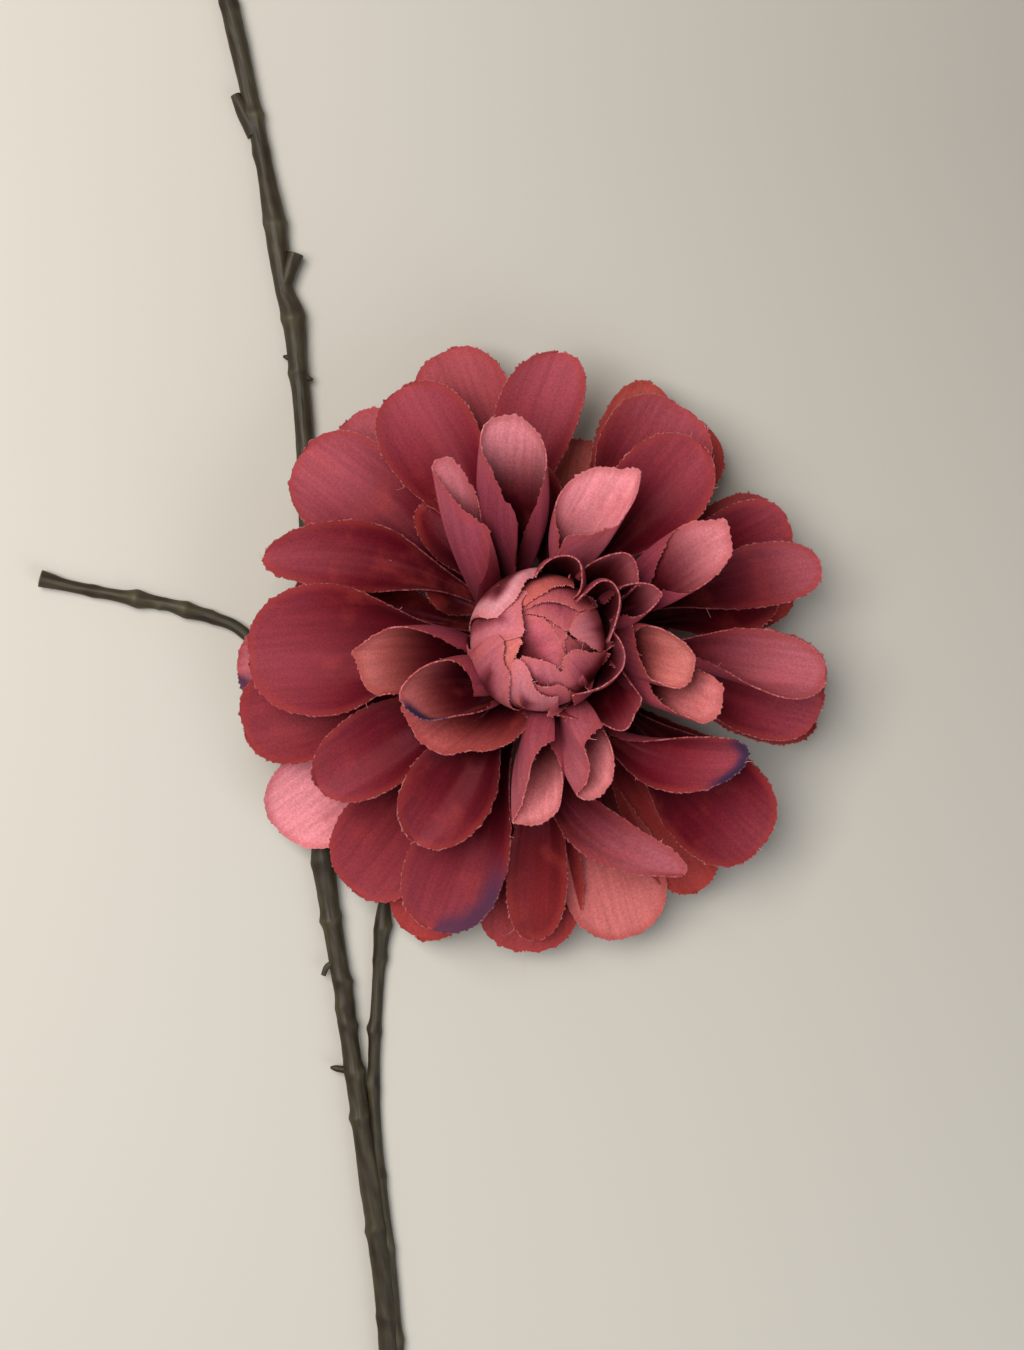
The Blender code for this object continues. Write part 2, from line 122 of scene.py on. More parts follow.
# %% Camera
CAMERA_HEIGHT = 520.0
CAMERA_PLACE = AXIS + (-8.0, -8.5, CAMERA_HEIGHT)
camera = bpy.data.cameras.new("camera")
camera.lens = 55.0
camera.sensor_width = 36.0
camera.sensor_fit = "AUTO"
camera.clip_start = 0.01
camera_object = bpy.data.objects.new("camera", camera)
camera_object.location = CAMERA_PLACE * MM
bpy.context.scene.collection.objects.link(camera_object)
bpy.context.scene.camera = camera_object
print("camera at", CAMERA_PLACE.round(1), "mm")

# %% [markdown]
# ## A thin sheet with two sides
#
# Every petal is one thin sheet. It is built from a grid of points, pushed half a thickness each
# way along the surface's normal and closed with a wall round the margin. A grid is chosen over
# a subdivided outline because its rows and columns double as the cloth's own coordinates:
# the grain and the streaks of dye later follow them. Facts such as the distance to the margin are stored
# on the points as attributes, which the shader reads.

# %% Sheets
def grid_normals(grid):
    return unit(np.cross(np.gradient(grid, axis=0), np.gradient(grid, axis=1)))


def sheet_faces(rows, columns):
    """Quads of a closed sheet whose back grid follows its face grid in the list of points."""
    index = np.arange(rows * columns).reshape(rows, columns)
    back = index + rows * columns
    a, b, c, d = index[:-1, :-1], index[1:, :-1], index[1:, 1:], index[:-1, 1:]
    face = np.stack([a, b, c, d], axis=-1).reshape(-1, 4)
    behind = np.stack([a, d, c, b], axis=-1).reshape(-1, 4) + rows * columns
    loop = np.concatenate([index[:-1, 0], index[-1, :-1], index[:0:-1, -1], index[0, :0:-1]])
    following = np.roll(loop, -1)
    wall = np.stack([following, loop, loop + rows * columns, following + rows * columns], axis=-1)
    return np.concatenate([face, behind, wall]), back


def finish_mesh(name, points, faces, material, sharp=50.0, facts=None):
    """Makes an object from points in millimetres round the flower's axis, and lets it ride."""
    mesh = bpy.data.meshes.new(name)
    mesh.from_pydata(((points + AXIS) * MM).tolist(), [], [list(map(int, f)) for f in faces])
    for fact, values in (facts or {}).items():
        values = np.asarray(values, dtype=float)
        kind = "FLOAT_VECTOR" if values.ndim == 2 else "FLOAT"
        layer = mesh.attributes.new(fact, kind, "POINT")
        layer.data.foreach_set("vector" if values.ndim == 2 else "value", values.ravel())
    mesh.materials.append(material)
    mesh.shade_smooth()
    mesh.set_sharp_from_angle(angle=math.radians(sharp))
    piece = bpy.data.objects.new(name, mesh)
    bpy.context.scene.collection.objects.link(piece)
    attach(piece, "root")
    return piece


def add_sheet(name, middle, thickness, material, facts):
    """A closed sheet round a grid of middle points; facts hold one value per grid point."""
    rows, columns = middle.shape[:2]
    offset = 0.5 * thickness * grid_normals(middle)
    points = np.concatenate([(middle + offset).reshape(-1, 3), (middle - offset).reshape(-1, 3)])
    points[:, 2] = np.maximum(points[:, 2], FLOOR_GAP)
    faces, _ = sheet_faces(rows, columns)
    both = {fact: np.tile(values.reshape(rows * columns, *values.shape[2:]), (2,) + (1,) * (values.ndim - 2))
            for fact, values in facts.items()}
    both["behind"] = np.repeat([0.0, 1.0], rows * columns)
    return finish_mesh(name, points, faces, material, facts=both)


print("a sheet of 3 by 3 points has", len(sheet_faces(3, 3)[0]), "faces")

# %% [markdown]
# ## Petals and their tiers
#
# A dahlia's petals stand in tiers. The lower ones are long and lie almost flat, and the upper
# ones are short, steep and rolled into funnels. Each petal is described by where its tip is and
# by how its cross-section turns on the way there: a wide cup at the foot that opens towards the
# tip, and for folded petals a margin that curls over. The plan holds one line per petal, read
# off the flower, because a real bunch of hand-bent petals follows no rule closely enough.

# %% What describes a petal
@dataclass
class Petal:
    toward: float              # direction of the tip, 0 to the right, 90 up the picture
    reach: float               # tip's distance from the flower's axis
    tip_height: float
    width: float
    turn: float = 0.0          # foot's direction less the tip's
    bend: float = 0.0          # sideways bow, anticlockwise
    cup: tuple = None          # turn of the cross-section at the foot and at the tip
    open_at: float = 0.5       # share of the length where one cup goes over to the other
    curl: tuple = (0.0, 0.0)   # extra turn of the anticlockwise and the clockwise margin
    fold: tuple = (0.43, 0.63)  # where across the half petal the curl is centred, and over how much
    shut_to: float = 0.35      # share of the length up to which the curl holds
    roll: float = 0.0          # whole petal, anticlockwise margin lifted
    lift: float = None         # foot higher than the tier's, if it isn't the usual stagger
    point: float = 0.0         # length of a pointed tip
    widest: float = None       # share of the length where it is widest, if not the tier's
    warm: float = 0.0          # dye, towards orange red
    pale: float = 0.0          # dye, towards rose pink
    deep: float = 0.0          # painted shade: darker crimson, for a petal that lies in shade
    run: float = 1.0           # above 1 the throat's darkening, partly dye and partly painted shade, runs further up
    violet: tuple = None       # amount of violet at a margin, and which one (0 is the tip)


@dataclass
class Tier:
    name: str
    foot_radius: float
    foot_height: float
    rise: float                # slope at the foot
    cup: tuple
    widest: float              # share of the length where its petals are widest
    petals: list


# %% Back petals
back = Tier("back_petal", 8.0, 17.0, 8.0, (150.0, 45.0), 0.77, [
    Petal(11, 63, 9, 15, warm=0.9, deep=0.3),
    Petal(29, 66, 8, 19, warm=0.4, pale=0.1),
    Petal(52.5, 66.5, 9, 22, turn=12, warm=0.8),
    Petal(67, 69, 9, 17, warm=1.0, pale=0.2),
    Petal(79, 50.5, 8, 15, warm=0.9, pale=0.4),
    Petal(109, 75.8, 9, 25, warm=0.2, pale=0.1),
    Petal(131.5, 73, 10, 23, pale=0.1),
    Petal(186, 76.5, 8, 25, pale=0.3, violet=(0.9, 1)),
    Petal(215, 81, 9, 27, roll=-14, pale=0.95),
    Petal(232, 77.5, 12, 27, warm=0.1, deep=0.3),
    Petal(246, 80, 8, 23, warm=0.7),
    Petal(266.5, 77, 9, 27, warm=0.5, deep=0.1),
    Petal(286, 76, 12, 26, warm=0.7, pale=0.5),
    Petal(302.5, 72.5, 12, 19, warm=0.9),
    Petal(318.5, 72, 10, 23, warm=0.9, pale=0.2),
    Petal(343.5, 70, 11, 18, warm=0.9, pale=0.1),
    Petal(352, 70, 12, 20, warm=0.8, pale=0.5),
])
print("back petals:", len(back.petals))

# %% Outer petals
outer = Tier("outer_petal", 8.0, 20.5, 16.0, (200.0, 60.0), 0.78, [
    Petal(11.5, 58, 13, 16, deep=0.8, run=2.0),
    Petal(15, 69, 22, 16, bend=2, pale=0.15, run=1.7),
    Petal(26, 66, 17, 20, deep=0.1, run=1.8),
    Petal(60, 65.5, 20, 28, pale=0.05, run=1.2),
    Petal(87, 69.5, 22, 21, turn=30, bend=5, pale=0.05),
    Petal(120, 70, 22, 24.5),
    Petal(142.5, 74.5, 18, 27, lift=-2.5, pale=0.08),
    Petal(163.6, 70.4, 26, 18, turn=-8, bend=-6.5, lift=2.0, widest=0.62, deep=0.35),
    Petal(170, 62.5, 12, 22, lift=-4.0, cup=(110, 30), warm=0.2, deep=0.6),
    Petal(196, 76.5, 17, 26, warm=0.1, deep=0.4),
    Petal(248.5, 75, 22, 25, deep=0.35, violet=(0.85, 1)),
    Petal(268, 73, 17, 15.5, cup=(150, 70), warm=0.2, deep=0.8, run=1.5),
    Petal(316, 72.5, 20, 27, deep=0.4, run=1.8),
    Petal(346, 69, 20, 22, deep=0.1),
])
print("outer petals:", len(outer.petals))

# %% Middle petals
middle = Tier("middle_petal", 8.5, 23.5, 26.0, (200.0, 72.0), 0.72, [
    Petal(52, 59, 31, 24, turn=12, deep=0.2),
    Petal(91, 41, 30, 10, deep=0.8, run=2.5),
    Petal(84, 35, 28, 9, deep=0.8, run=2.5),
    Petal(133, 44, 26, 12, turn=8, deep=1.0, run=2.5),
    Petal(152, 31, 22, 12, deep=1.0, run=4.0),
    Petal(183, 71, 27, 32.5, turn=-6, cup=(180, 55), deep=0.3),
    Petal(213, 64.5, 30, 21, cup=(150, 70), deep=0.4, run=1.3),
    Petal(237.5, 57, 34, 22.5, deep=0.6, run=1.4),
    Petal(300.7, 63.8, 27, 14, turn=-30, bend=-13, point=1.5, pale=0.25, deep=0.2, run=1.3),
    Petal(329, 55.5, 32, 17.5, turn=-42, bend=-8, curl=(80, 0), deep=0.1, violet=(1.0, 0), run=1.2),
    Petal(352.5, 67.5, 27, 19, curl=(0, 110), pale=0.25),
])
tiers = [back, outer, middle]
print("middle petals:", len(middle.petals))

# %% [markdown]
# ## From a plan to a surface
#
# The midrib is a curve with three control points: the foot, a knee that sets the slope at the
# foot, and the tip. Across it, the section is drawn by turning: its slope changes from margin
# to margin, and summing the slope gives the shape. That keeps the cloth's width true however
# far a petal is rolled, just as bending real cloth doesn't stretch it.

# %% The outline of a petal
ROWS, COLUMNS = 96, 23
RIM = 0.4                  # width of the outermost strip, which frays
CLAW = 0.15                # width at the foot, as a share of the greatest


def half_width(share, widest, foot):
    """Half width of a petal along its length, as a share of its greatest."""
    grown = np.sin(0.5 * np.pi * np.clip(share / widest, 0, 1)) ** 2.8
    rounding = np.clip((share - widest) / (1 - widest), 0, 1)
    return np.where(share < widest, foot + (1 - foot) * grown, np.sqrt(1 - rounding ** 2.2))


def length_shares(rows):
    """Shares of a petal's length, closer together towards its round end."""
    return 1 - (1 - np.linspace(0, 0.985, rows)) ** 1.5


# %% The surface of a petal
def petal_surface(petal, tier, lift, draw):
    """Middle points of a petal, and each point's place on the flat cloth, in millimetres."""
    s = length_shares(ROWS)[:, None]
    foot = polar(petal.toward + petal.turn, tier.foot_radius, tier.foot_height + lift)
    tip = polar(petal.toward, petal.reach, petal.tip_height)
    outward = unit((tip - foot) * (1, 1, 0))
    across = np.cross(UP, outward)
    slope = math.radians(tier.rise)
    span = np.linalg.norm(tip - foot)
    knee = foot + 0.5 * span * (math.cos(slope) * outward + math.sin(slope) * UP)
    rib = (1 - s) ** 2 * foot + 2 * s * (1 - s) * knee + s ** 2 * tip
    rib = rib + across * 4 * petal.bend * s * (1 - s)
    along = unit(2 * (1 - s) * (knee - foot) + 2 * s * (tip - knee))
    facing = np.cross(along, across)
    roll = math.radians(petal.roll) * ease(1.5 * s)
    side = across * np.cos(roll) + facing * np.sin(roll)
    facing = facing * np.cos(roll) - across * np.sin(roll)

    foot_cup, tip_cup = petal.cup or tier.cup
    cup = np.radians(foot_cup + (tip_cup - foot_cup) * ease((s - petal.open_at + 0.22) / 0.44))
    steps = 120
    t = np.linspace(-1, 1, steps + 1)
    at, over = petal.fold
    curl = (petal.curl[0] * ease((t - at) / over + 0.5) - petal.curl[1] * ease((-t - at) / over + 0.5))
    held = ease(s / 0.2) * (1 - ease((s - petal.shut_to) / (1.12 - petal.shut_to)))
    angle = 0.5 * cup * t + np.radians(curl) * held
    half = 0.5 * petal.width * half_width(s, petal.widest or tier.widest, CLAW)

    def summed(values):
        total = np.cumsum((values[:, 1:] + values[:, :-1]) / steps, axis=1)
        total = np.concatenate([np.zeros((ROWS, 1)), total], axis=1)
        return half * (total - total[:, steps // 2][:, None])

    rim_share = np.minimum(RIM / half, 0.3)
    kept = np.linspace(-1, 1, COLUMNS - 2) * (1 - rim_share)
    kept = np.concatenate([np.full((ROWS, 1), -1.0), kept, np.full((ROWS, 1), 1.0)], axis=1)
    sideways = np.array([np.interp(k, t, row) for k, row in zip(kept, summed(np.cos(angle)))])
    raised = np.array([np.interp(k, t, row) for k, row in zip(kept, summed(np.sin(angle)))])
    wave = draw.uniform(0.35, 0.75) * (
        np.sin(5.2 * s + draw.uniform(0, 6) + 1.3 * kept) * np.abs(kept) ** 1.5
        + 0.4 * np.sin(11 * s + draw.uniform(0, 6) - 2.2 * kept) * kept ** 2)
    pleats = sum(draw.uniform(0.1, 0.4) * np.exp(-((kept - at) / 0.1) ** 2)
                 for at in (draw.uniform(-0.1, 0.1), draw.uniform(-0.6, -0.3), draw.uniform(0.3, 0.6)))
    raised = raised + wave * ease(s / 0.5) - pleats * ease(s / 0.2) * ease((1.02 - s) / 0.5)
    pointed = petal.point * np.exp(-(sideways / 2.2) ** 2) * ease((s - 0.7) / 0.3)
    points = (rib[:, None] + side[:, None] * sideways[..., None] + facing[:, None] * raised[..., None]
              + along[:, None] * pointed[..., None])
    flat = np.stack([half * kept, span * 1.05 * s + 0 * kept], axis=-1)
    return points, flat, s + 0 * kept, kept


# %% [markdown]
# ## Rolled petals, drawn by their rims
#
# Round the middle the petals are rolled into funnels and folded over, and what one sees of each
# is mostly its rim. So these are described by the rim: a line through points in space, from one
# side of the foot round the tip to the other side. A piece of cloth that is rolled without
# stretching is a cone, so straight lines from the foot to the rim already give nearly the right
# surface. It is then blown out a little, away from its own axis, as a pressed petal is.
# The plan gives x and y across the flower and the height above the floor, in millimetres.

# %% What describes a rolled petal
@dataclass
class RolledPetal:
    foot: tuple
    rim: list
    bulge: float = 2.5
    warm: float = 0.0
    # pale is partly rose dye and partly painted light, which lifts the shaded insides of the cups; deep is painted
    # shade
    pale: float = 0.0
    deep: float = 0.0
    run: float = 1.0           # below 1 the throat's darkening, partly dye and partly painted shade, stays low, above 1 it runs far up
    violet: tuple = None       # amount of violet, and the shares of the rim it lies between


# %% Rolled petals above the bud
rolled_petals = [
    RolledPetal((-8.5, 10.5, 28), [
        (-7.6, 15, 36), (-7.2, 18, 40), (-7, 22, 43), (-6.8, 26.5, 45.5), (-7.7, 29.4, 46.5), (-9.7, 31.8, 47),
        (-10.7, 34, 47.5), (-12, 36.8, 48.5), (-13.6, 39.8, 49.5), (-14.9, 42.7, 50), (-15.2, 45.2, 50.5),
        (-14.4, 48, 50.5), (-12.8, 49.6, 50.5), (-10.5, 50.4, 50.5), (-7.5, 50.6, 50.5), (-5, 49.5, 50.5),
        (-2.5, 47, 50), (-0.8, 44, 50), (-0.2, 41, 49.5), (-0.4, 37.5, 48.5), (-1.7, 32.8, 46.5),
        (-3.1, 29.4, 44), (-4.6, 26, 41), (-5.8, 22.5, 38), (-6.6, 19, 35), (-7.2, 15, 32)], 3.2, pale=0.8,
        deep=0.3, run=1.5),
    RolledPetal((-13, 2, 28), [
        (-15.4, 6, 34), (-15.9, 9, 36.5), (-15.5, 14, 40), (-14.8, 18.5, 43), (-14.1, 21.5, 45), (-13.2, 24.2, 46.5),
        (-15.2, 26.3, 47.5), (-18, 28.4, 48.5), (-20, 30.2, 49), (-22, 32.5, 49.5), (-23.8, 35, 50),
        (-25.2, 36.9, 50.5), (-26.2, 38.7, 51), (-25, 40.3, 51), (-23, 41, 50.5), (-21, 40.2, 49.5),
        (-19.5, 38.5, 48), (-18.3, 36.5, 46.5), (-17, 34.3, 45), (-16, 32.2, 43.5), (-15.5, 30, 42.5),
        (-15.3, 27, 41), (-15.5, 22, 38), (-16, 16, 35), (-16, 10, 32)], 3.0, pale=0.5),
    RolledPetal((2.5, 12, 31), [
        (1.7, 15.5, 36), (1.9, 18.5, 38.5), (2.8, 21, 40), (2.7, 24, 41), (2.1, 27, 42), (1.9, 29.3, 42.5),
        (2.4, 31.8, 43.5), (3.8, 34.3, 44.5), (6, 36.7, 45.5), (9, 38.4, 46.5), (12.3, 39.2, 47.5), (15.5, 38.7, 49),
        (18, 38.4, 50), (20.8, 38.4, 51), (21.1, 36.5, 51), (20.7, 33.8, 50.5), (19.6, 31, 49.5), (18, 28.4, 48.5),
        (16.2, 25.9, 47), (13.5, 24.9, 46), (10.5, 23.9, 45), (7.5, 23.8, 44.5), (5.2, 23.7, 44), (4.0, 22.5, 43),
        (3.4, 20, 41), (3, 16, 37)], 1.4, pale=1.0, run=0.5),
    RolledPetal((11, 5.5, 31), [
        (16.5, 9, 37), (20.5, 10.9, 39.5), (23.7, 12.8, 41), (25, 15.5, 42), (26.3, 19, 43), (27.5, 21.8, 44),
        (29.2, 24.3, 45), (31.5, 26, 46), (34, 26.7, 47.5), (37, 26.8, 49), (40, 27.1, 50.5), (41, 26.2, 51),
        (41.6, 23.2, 50.5), (42.3, 20.5, 50), (41.5, 18, 49), (39.5, 15.2, 48), (37, 13, 47), (34.3, 11.2, 46),
        (32, 10.4, 45), (29.5, 10.6, 44), (27, 11, 43), (23.5, 10, 41), (18, 8.2, 36)], 1.8, warm=0.1, pale=0.7,
        run=1.3),
    RolledPetal((9, 9, 30), [
        (6.5, 12, 42), (8.3, 15.5, 48), (9.5, 16.6, 49.5), (11, 17.5, 50), (13, 18.4, 50.5), (15, 19, 51),
        (17.3, 19.3, 51), (18.8, 18.8, 51), (19.8, 17.6, 51), (20.4, 16, 50.5), (20.7, 14, 50), (20.5, 12, 48.5),
        (17, 9, 42)], 2.0, pale=0.25),
    RolledPetal((12, 4, 30), [
        (13.5, 8, 42), (16.5, 11.3, 48), (18, 12, 49.5), (20, 12.4, 50), (22, 12.4, 50.5), (24, 11.9, 51),
        (25.2, 10.9, 51), (26.1, 9.9, 51), (25.6, 9, 51), (25, 8, 50.5), (23.8, 6.7, 50), (22.5, 5.6, 49.5),
        (21, 4.9, 49), (19.5, 4.7, 48.5), (17.5, 5.2, 47.5), (15, 4.5, 44)], 2.2, pale=0.35),
]
print("rolled petals above the bud:", len(rolled_petals))

# %% Rolled petals beside and below the bud
rolled_petals += [
    RolledPetal((-11.5, -3.5, 28), [
        (-17, -7, 30), (-22, -9.5, 33), (-28, -12, 36.5), (-33.5, -12.7, 41), (-36, -12.8, 43), (-38.5, -13, 44),
        (-40.7, -12.2, 45.5), (-42.2, -10.3, 46), (-43.1, -7.5, 46.5), (-43.8, -5, 47), (-44.8, -3.4, 47.5),
        (-43, -1.9, 47.5), (-40.5, 0, 47), (-38, 1.4, 47), (-35.5, 2.4, 47), (-32.5, 2.5, 47), (-30, 2, 46.5),
        (-27, 1, 46), (-24, -0.3, 45), (-21.5, -1.7, 44), (-19, -2.8, 42), (-16.5, -3.4, 38)], 2.2, warm=0.8,
        pale=0.55, run=1.3),
    RolledPetal((-10.5, -9, 32), [
        (-12.5, -14.5, 40), (-13.8, -16.3, 43.5), (-17, -17.3, 45.5), (-20.5, -17.8, 47), (-23.5, -18.4, 48),
        (-26.5, -18.9, 48.5), (-29, -18.4, 48.5), (-31.3, -16.9, 49), (-33, -15, 49), (-33.7, -13, 49),
        (-33, -11, 49), (-31.5, -9.3, 49.5), (-29.5, -7.5, 50), (-27, -6.1, 50.5), (-24.5, -5.3, 50.5),
        (-22, -5.1, 50), (-20, -5.9, 49.5), (-18.4, -7.7, 48.5), (-17.3, -9.6, 47.5), (-16.9, -11.3, 46),
        (-16.5, -13.3, 44), (-14, -12, 40)], 2.2, warm=0.7, pale=0.5, run=1.3, violet=(1.0, 0.2, 0.46)),
    RolledPetal((-7.5, -9.5, 27), [
        (-6, -14.5, 34), (-5.3, -17.3, 38), (-3.8, -18.7, 39.5), (-4.2, -20, 41), (-5.8, -21.9, 41.5), (-8, -23.7, 42),
        (-11, -25.3, 42), (-14, -26.1, 42), (-17, -26, 42), (-20, -26.3, 42), (-23, -27, 42), (-25.5, -26.4, 42),
        (-28, -24.8, 42), (-30, -23.2, 42), (-31.5, -20.5, 42), (-32.8, -17.8, 42), (-33.6, -15.3, 41),
        (-32, -12.5, 37), (-27, -10, 33), (-18, -8.5, 29)], 1.0, warm=0.7, pale=0.25),
    RolledPetal((-1.5, -12, 28), [
        (-0.6, -18, 34), (-0.2, -21, 37), (0.4, -23.5, 39), (1.5, -25.5, 40), (2.6, -27.7, 41), (3.4, -30, 42),
        (3.7, -33, 43), (3.4, -36, 44), (2.9, -38.7, 44.5), (1.8, -40.4, 45), (0, -41.9, 45.5), (-2.5, -43, 46),
        (-5, -42.9, 46.5), (-7.9, -42.2, 47), (-7.2, -40.8, 47.5), (-6.2, -38.8, 47.5), (-5.3, -36, 47.5),
        (-4.5, -33, 47.5), (-3.9, -30.3, 47.5), (-3.2, -27.8, 47.5), (-2, -25.9, 47), (-0.3, -24.4, 46),
        (1.7, -23.2, 45), (0.8, -21, 42), (-0.5, -18, 36)], 2.6, warm=0.3, pale=1.0, run=0.8),
    RolledPetal((2, -12, 28), [
        (7, -15, 33), (10.5, -18, 36), (12.3, -20, 38), (13.7, -22, 39.5), (14.7, -24.3, 41), (15.4, -27, 42),
        (15.5, -30, 43), (15, -33, 43.5), (13.6, -35, 44), (12, -36.5, 44.5), (10, -37.3, 45), (7.8, -36.8, 45.5),
        (6.8, -35.8, 46), (8, -34.4, 47), (9.1, -32.7, 47.5), (9.7, -30.5, 47.5), (9.5, -28.3, 47.5),
        (8.9, -26.5, 47.5), (8.6, -24.6, 47.5), (9.6, -22.9, 47), (11.2, -21.3, 46), (12.7, -20, 45),
        (9.5, -18.8, 42), (5, -16.5, 37)], 2.4, warm=0.2, pale=1.0, run=0.7),
    RolledPetal((9, -8, 29), [
        (15, -6, 41), (17.5, -8, 45), (19, -10, 45.5), (20.5, -12, 46), (21.7, -13.9, 46), (21.3, -15.5, 45.5),
        (20.2, -17.5, 45), (19.3, -19.8, 44.5), (18.3, -21, 44.5), (17, -21.3, 44.5), (15.3, -20.9, 44.5),
        (13, -19.8, 44.5), (10.5, -18.9, 44), (7.5, -18.8, 44), (4.5, -18.2, 43), (2, -17.7, 42), (0.4, -17, 41),
        (2, -14, 36)], 2.6),
    RolledPetal((12.5, -1, 32), [
        (14, 2, 40), (17, 3.9, 44), (18.8, 4.2, 45), (19.7, 2.5, 45.5), (20.1, 0.3, 46), (20.7, -2.5, 46),
        (21.5, -5.3, 46), (22.6, -7.6, 46), (23.6, -9.3, 46), (25.5, -10.2, 46.5), (28, -11.2, 47.5),
        (30.5, -11.4, 48.5), (32.4, -10, 49.5), (33.3, -7.2, 50.5), (33.6, -4.5, 51), (31.8, -1.8, 51),
        (29.5, 0.1, 50), (26.5, 1.9, 48.5), (23.5, 2.7, 47), (21.5, 2.3, 45.5), (19.5, 1, 43), (16, 0, 38)], 2.0,
        warm=0.8, pale=0.8, run=0.8),
    RolledPetal((12, -4.5, 28), [
        (16, -4, 36), (19, -6, 39.5), (21.5, -8.5, 41.5), (23.4, -9.9, 43), (24.2, -12, 43.5), (25.6, -14.1, 44),
        (27.6, -15.9, 44), (29.8, -17.2, 44), (31.8, -17.9, 44.5), (33.5, -18.6, 45), (35.5, -19.5, 45.5),
        (37.5, -19.3, 46), (39, -18, 46.5), (39.9, -16, 47), (40.4, -13, 47), (40.2, -10.7, 46.5), (38.3, -9, 45),
        (36, -7.7, 43.5), (33.5, -6.8, 41.5), (30, -6.5, 38), (25, -6, 34), (18, -5, 30)], 2.0, warm=0.5, pale=0.65,
        run=1.1),
]
print("rolled petals:", len(rolled_petals))

# %% Upright petals that hug the bud
rolled_petals += [
    RolledPetal((3.2, 12, 30), [
        (-2.8, 13, 46), (-2.6, 14.1, 52), (-1.5, 15.6, 55), (0, 17, 57), (2, 18, 58), (4.5, 18.2, 58.5),
        (6.5, 17.4, 58.5), (7.5, 15.8, 58), (7.7, 13.5, 57.5), (7.6, 11.5, 57), (7, 9.8, 56), (5.8, 8.8, 55),
        (7.5, 9.5, 50)], 2.5, pale=0.4),
    RolledPetal((10.5, 6.8, 30), [
        (8, 9.5, 47), (6.4, 7.9, 55), (7.6, 9.2, 56), (9.6, 10.9, 57), (11.2, 12.2, 58), (12.8, 12.7, 58.5),
        (14.4, 12.2, 58.5), (15.5, 10.8, 58.5), (16.1, 9.2, 58), (16.1, 7, 57.5), (15.7, 5, 57), (15.2, 3, 56.5),
        (14.5, 1, 56), (13.9, -0.8, 55), (15, -1, 47)], 2.5, pale=0.4),
    RolledPetal((10.2, -7.2, 30), [
        (15.5, 2, 46), (15, 1.2, 53), (16.3, -0.6, 54.5), (17.2, -2.8, 55), (17.4, -5, 55), (16.9, -7, 55),
        (15.6, -8.7, 54.5), (14.2, -9.9, 54), (12, -11.3, 53.5), (9.5, -12.2, 53), (7.5, -12.7, 52.5),
        (5.9, -13.1, 52), (6, -14.5, 45)], 2.2, pale=0.3),
]
print("all rolled petals:", len(rolled_petals))

# %% The surface of a rolled petal
RIM_ROWS, RIM_COLUMNS = 28, 141
BUD_CENTRE = np.array([-1.5, -0.6, 41.5])
BUD_REACH = 16.9           # rolled petals stay this far from the bud's centre


def smooth_course(course, step):
    """Points every few tenths of a millimetre on a smooth curve through a course, with what else it holds."""
    points = np.array(course, dtype=float)
    rings = []
    for k in range(len(points) - 1):
        before, start = points[max(k - 1, 0)], points[k]
        end, after = points[k + 1], points[min(k + 2, len(points) - 1)]
        parts = max(2, round(np.linalg.norm((end - start)[:3]) / step))
        u = (np.arange(parts) / parts)[:, None]
        rings.append(0.5 * (2 * start + (end - before) * u + (2 * before - 5 * start + 4 * end - after) * u ** 2
                            + (3 * start - before - 3 * end + after) * u ** 3))
    return np.concatenate(rings + [points[-1:]])


def even_course(course, count):
    """A smooth curve through a course as evenly spaced points."""
    curve = smooth_course(course, 0.3)
    run = np.concatenate([[0], np.cumsum(np.linalg.norm(np.diff(curve, axis=0), axis=1))])
    return np.array([np.interp(np.linspace(0, run[-1], count), run, values) for values in curve.T]).T


def rows_to_rim(length):
    """Shares from foot to rim, the last strip as wide as the fringe."""
    return np.append(np.linspace(0, 1, RIM_ROWS - 1) ** 0.8 * (1 - RIM / length), 1.0)[:, None, None]


def cloth_grid(points):
    """Each point's place on the flat cloth: run along the rows, and run along the columns."""
    over = np.linalg.norm(np.diff(points, axis=1), axis=2)
    over = np.concatenate([np.zeros((len(points), 1)), np.cumsum(over, axis=1)], axis=1)
    up = np.linalg.norm(np.diff(points, axis=0), axis=2)
    up = np.concatenate([np.zeros((1, points.shape[1])), np.cumsum(up, axis=0)], axis=0)
    return np.stack([over - over[:, points.shape[1] // 2][:, None], up], axis=-1)


def rolled_surface(petal, draw):
    """Middle points of a rolled petal, each one's place on the flat cloth, and its share along the rim."""
    rim = even_course(petal.rim, RIM_COLUMNS)[None]
    foot = np.array(petal.foot, dtype=float)
    heart = rim.mean(axis=1)
    s = rows_to_rim(np.linalg.norm(rim - foot, axis=-1).mean())
    claw = foot + 0.07 * (rim - heart)
    chord = claw * (1 - s) + rim * s
    run = unit(rim - claw)
    away = unit(chord - (foot * (1 - s) + heart * s))
    away = away - run * np.sum(away * run, axis=-1, keepdims=True)
    away = away / np.maximum(np.linalg.norm(away, axis=-1, keepdims=True), 0.35)
    t = np.linspace(-1, 1, RIM_COLUMNS)[None, :, None]
    wave = 0.35 * np.sin(9 * t + 3 * s + draw.uniform(0, 6)) + 0.2 * np.sin(17 * t - 5 * s + draw.uniform(0, 6))
    points = chord + away * (petal.bulge * np.sin(np.pi * s ** 1.2) + wave * s * (1 - s) * 2)
    from_bud = points - BUD_CENTRE
    apart = np.linalg.norm(from_bud, axis=-1, keepdims=True)
    points = BUD_CENTRE + from_bud * np.maximum(1, BUD_REACH / apart)
    share = 0 * points[..., 0] + np.linspace(0, 1, RIM_COLUMNS)
    facing = np.sum(grid_normals(points) * (heart - points), axis=-1)[RIM_ROWS // 2:].mean()
    if facing < 0:
        points, share = points[:, ::-1], share[:, ::-1]
    return points, cloth_grid(points), share


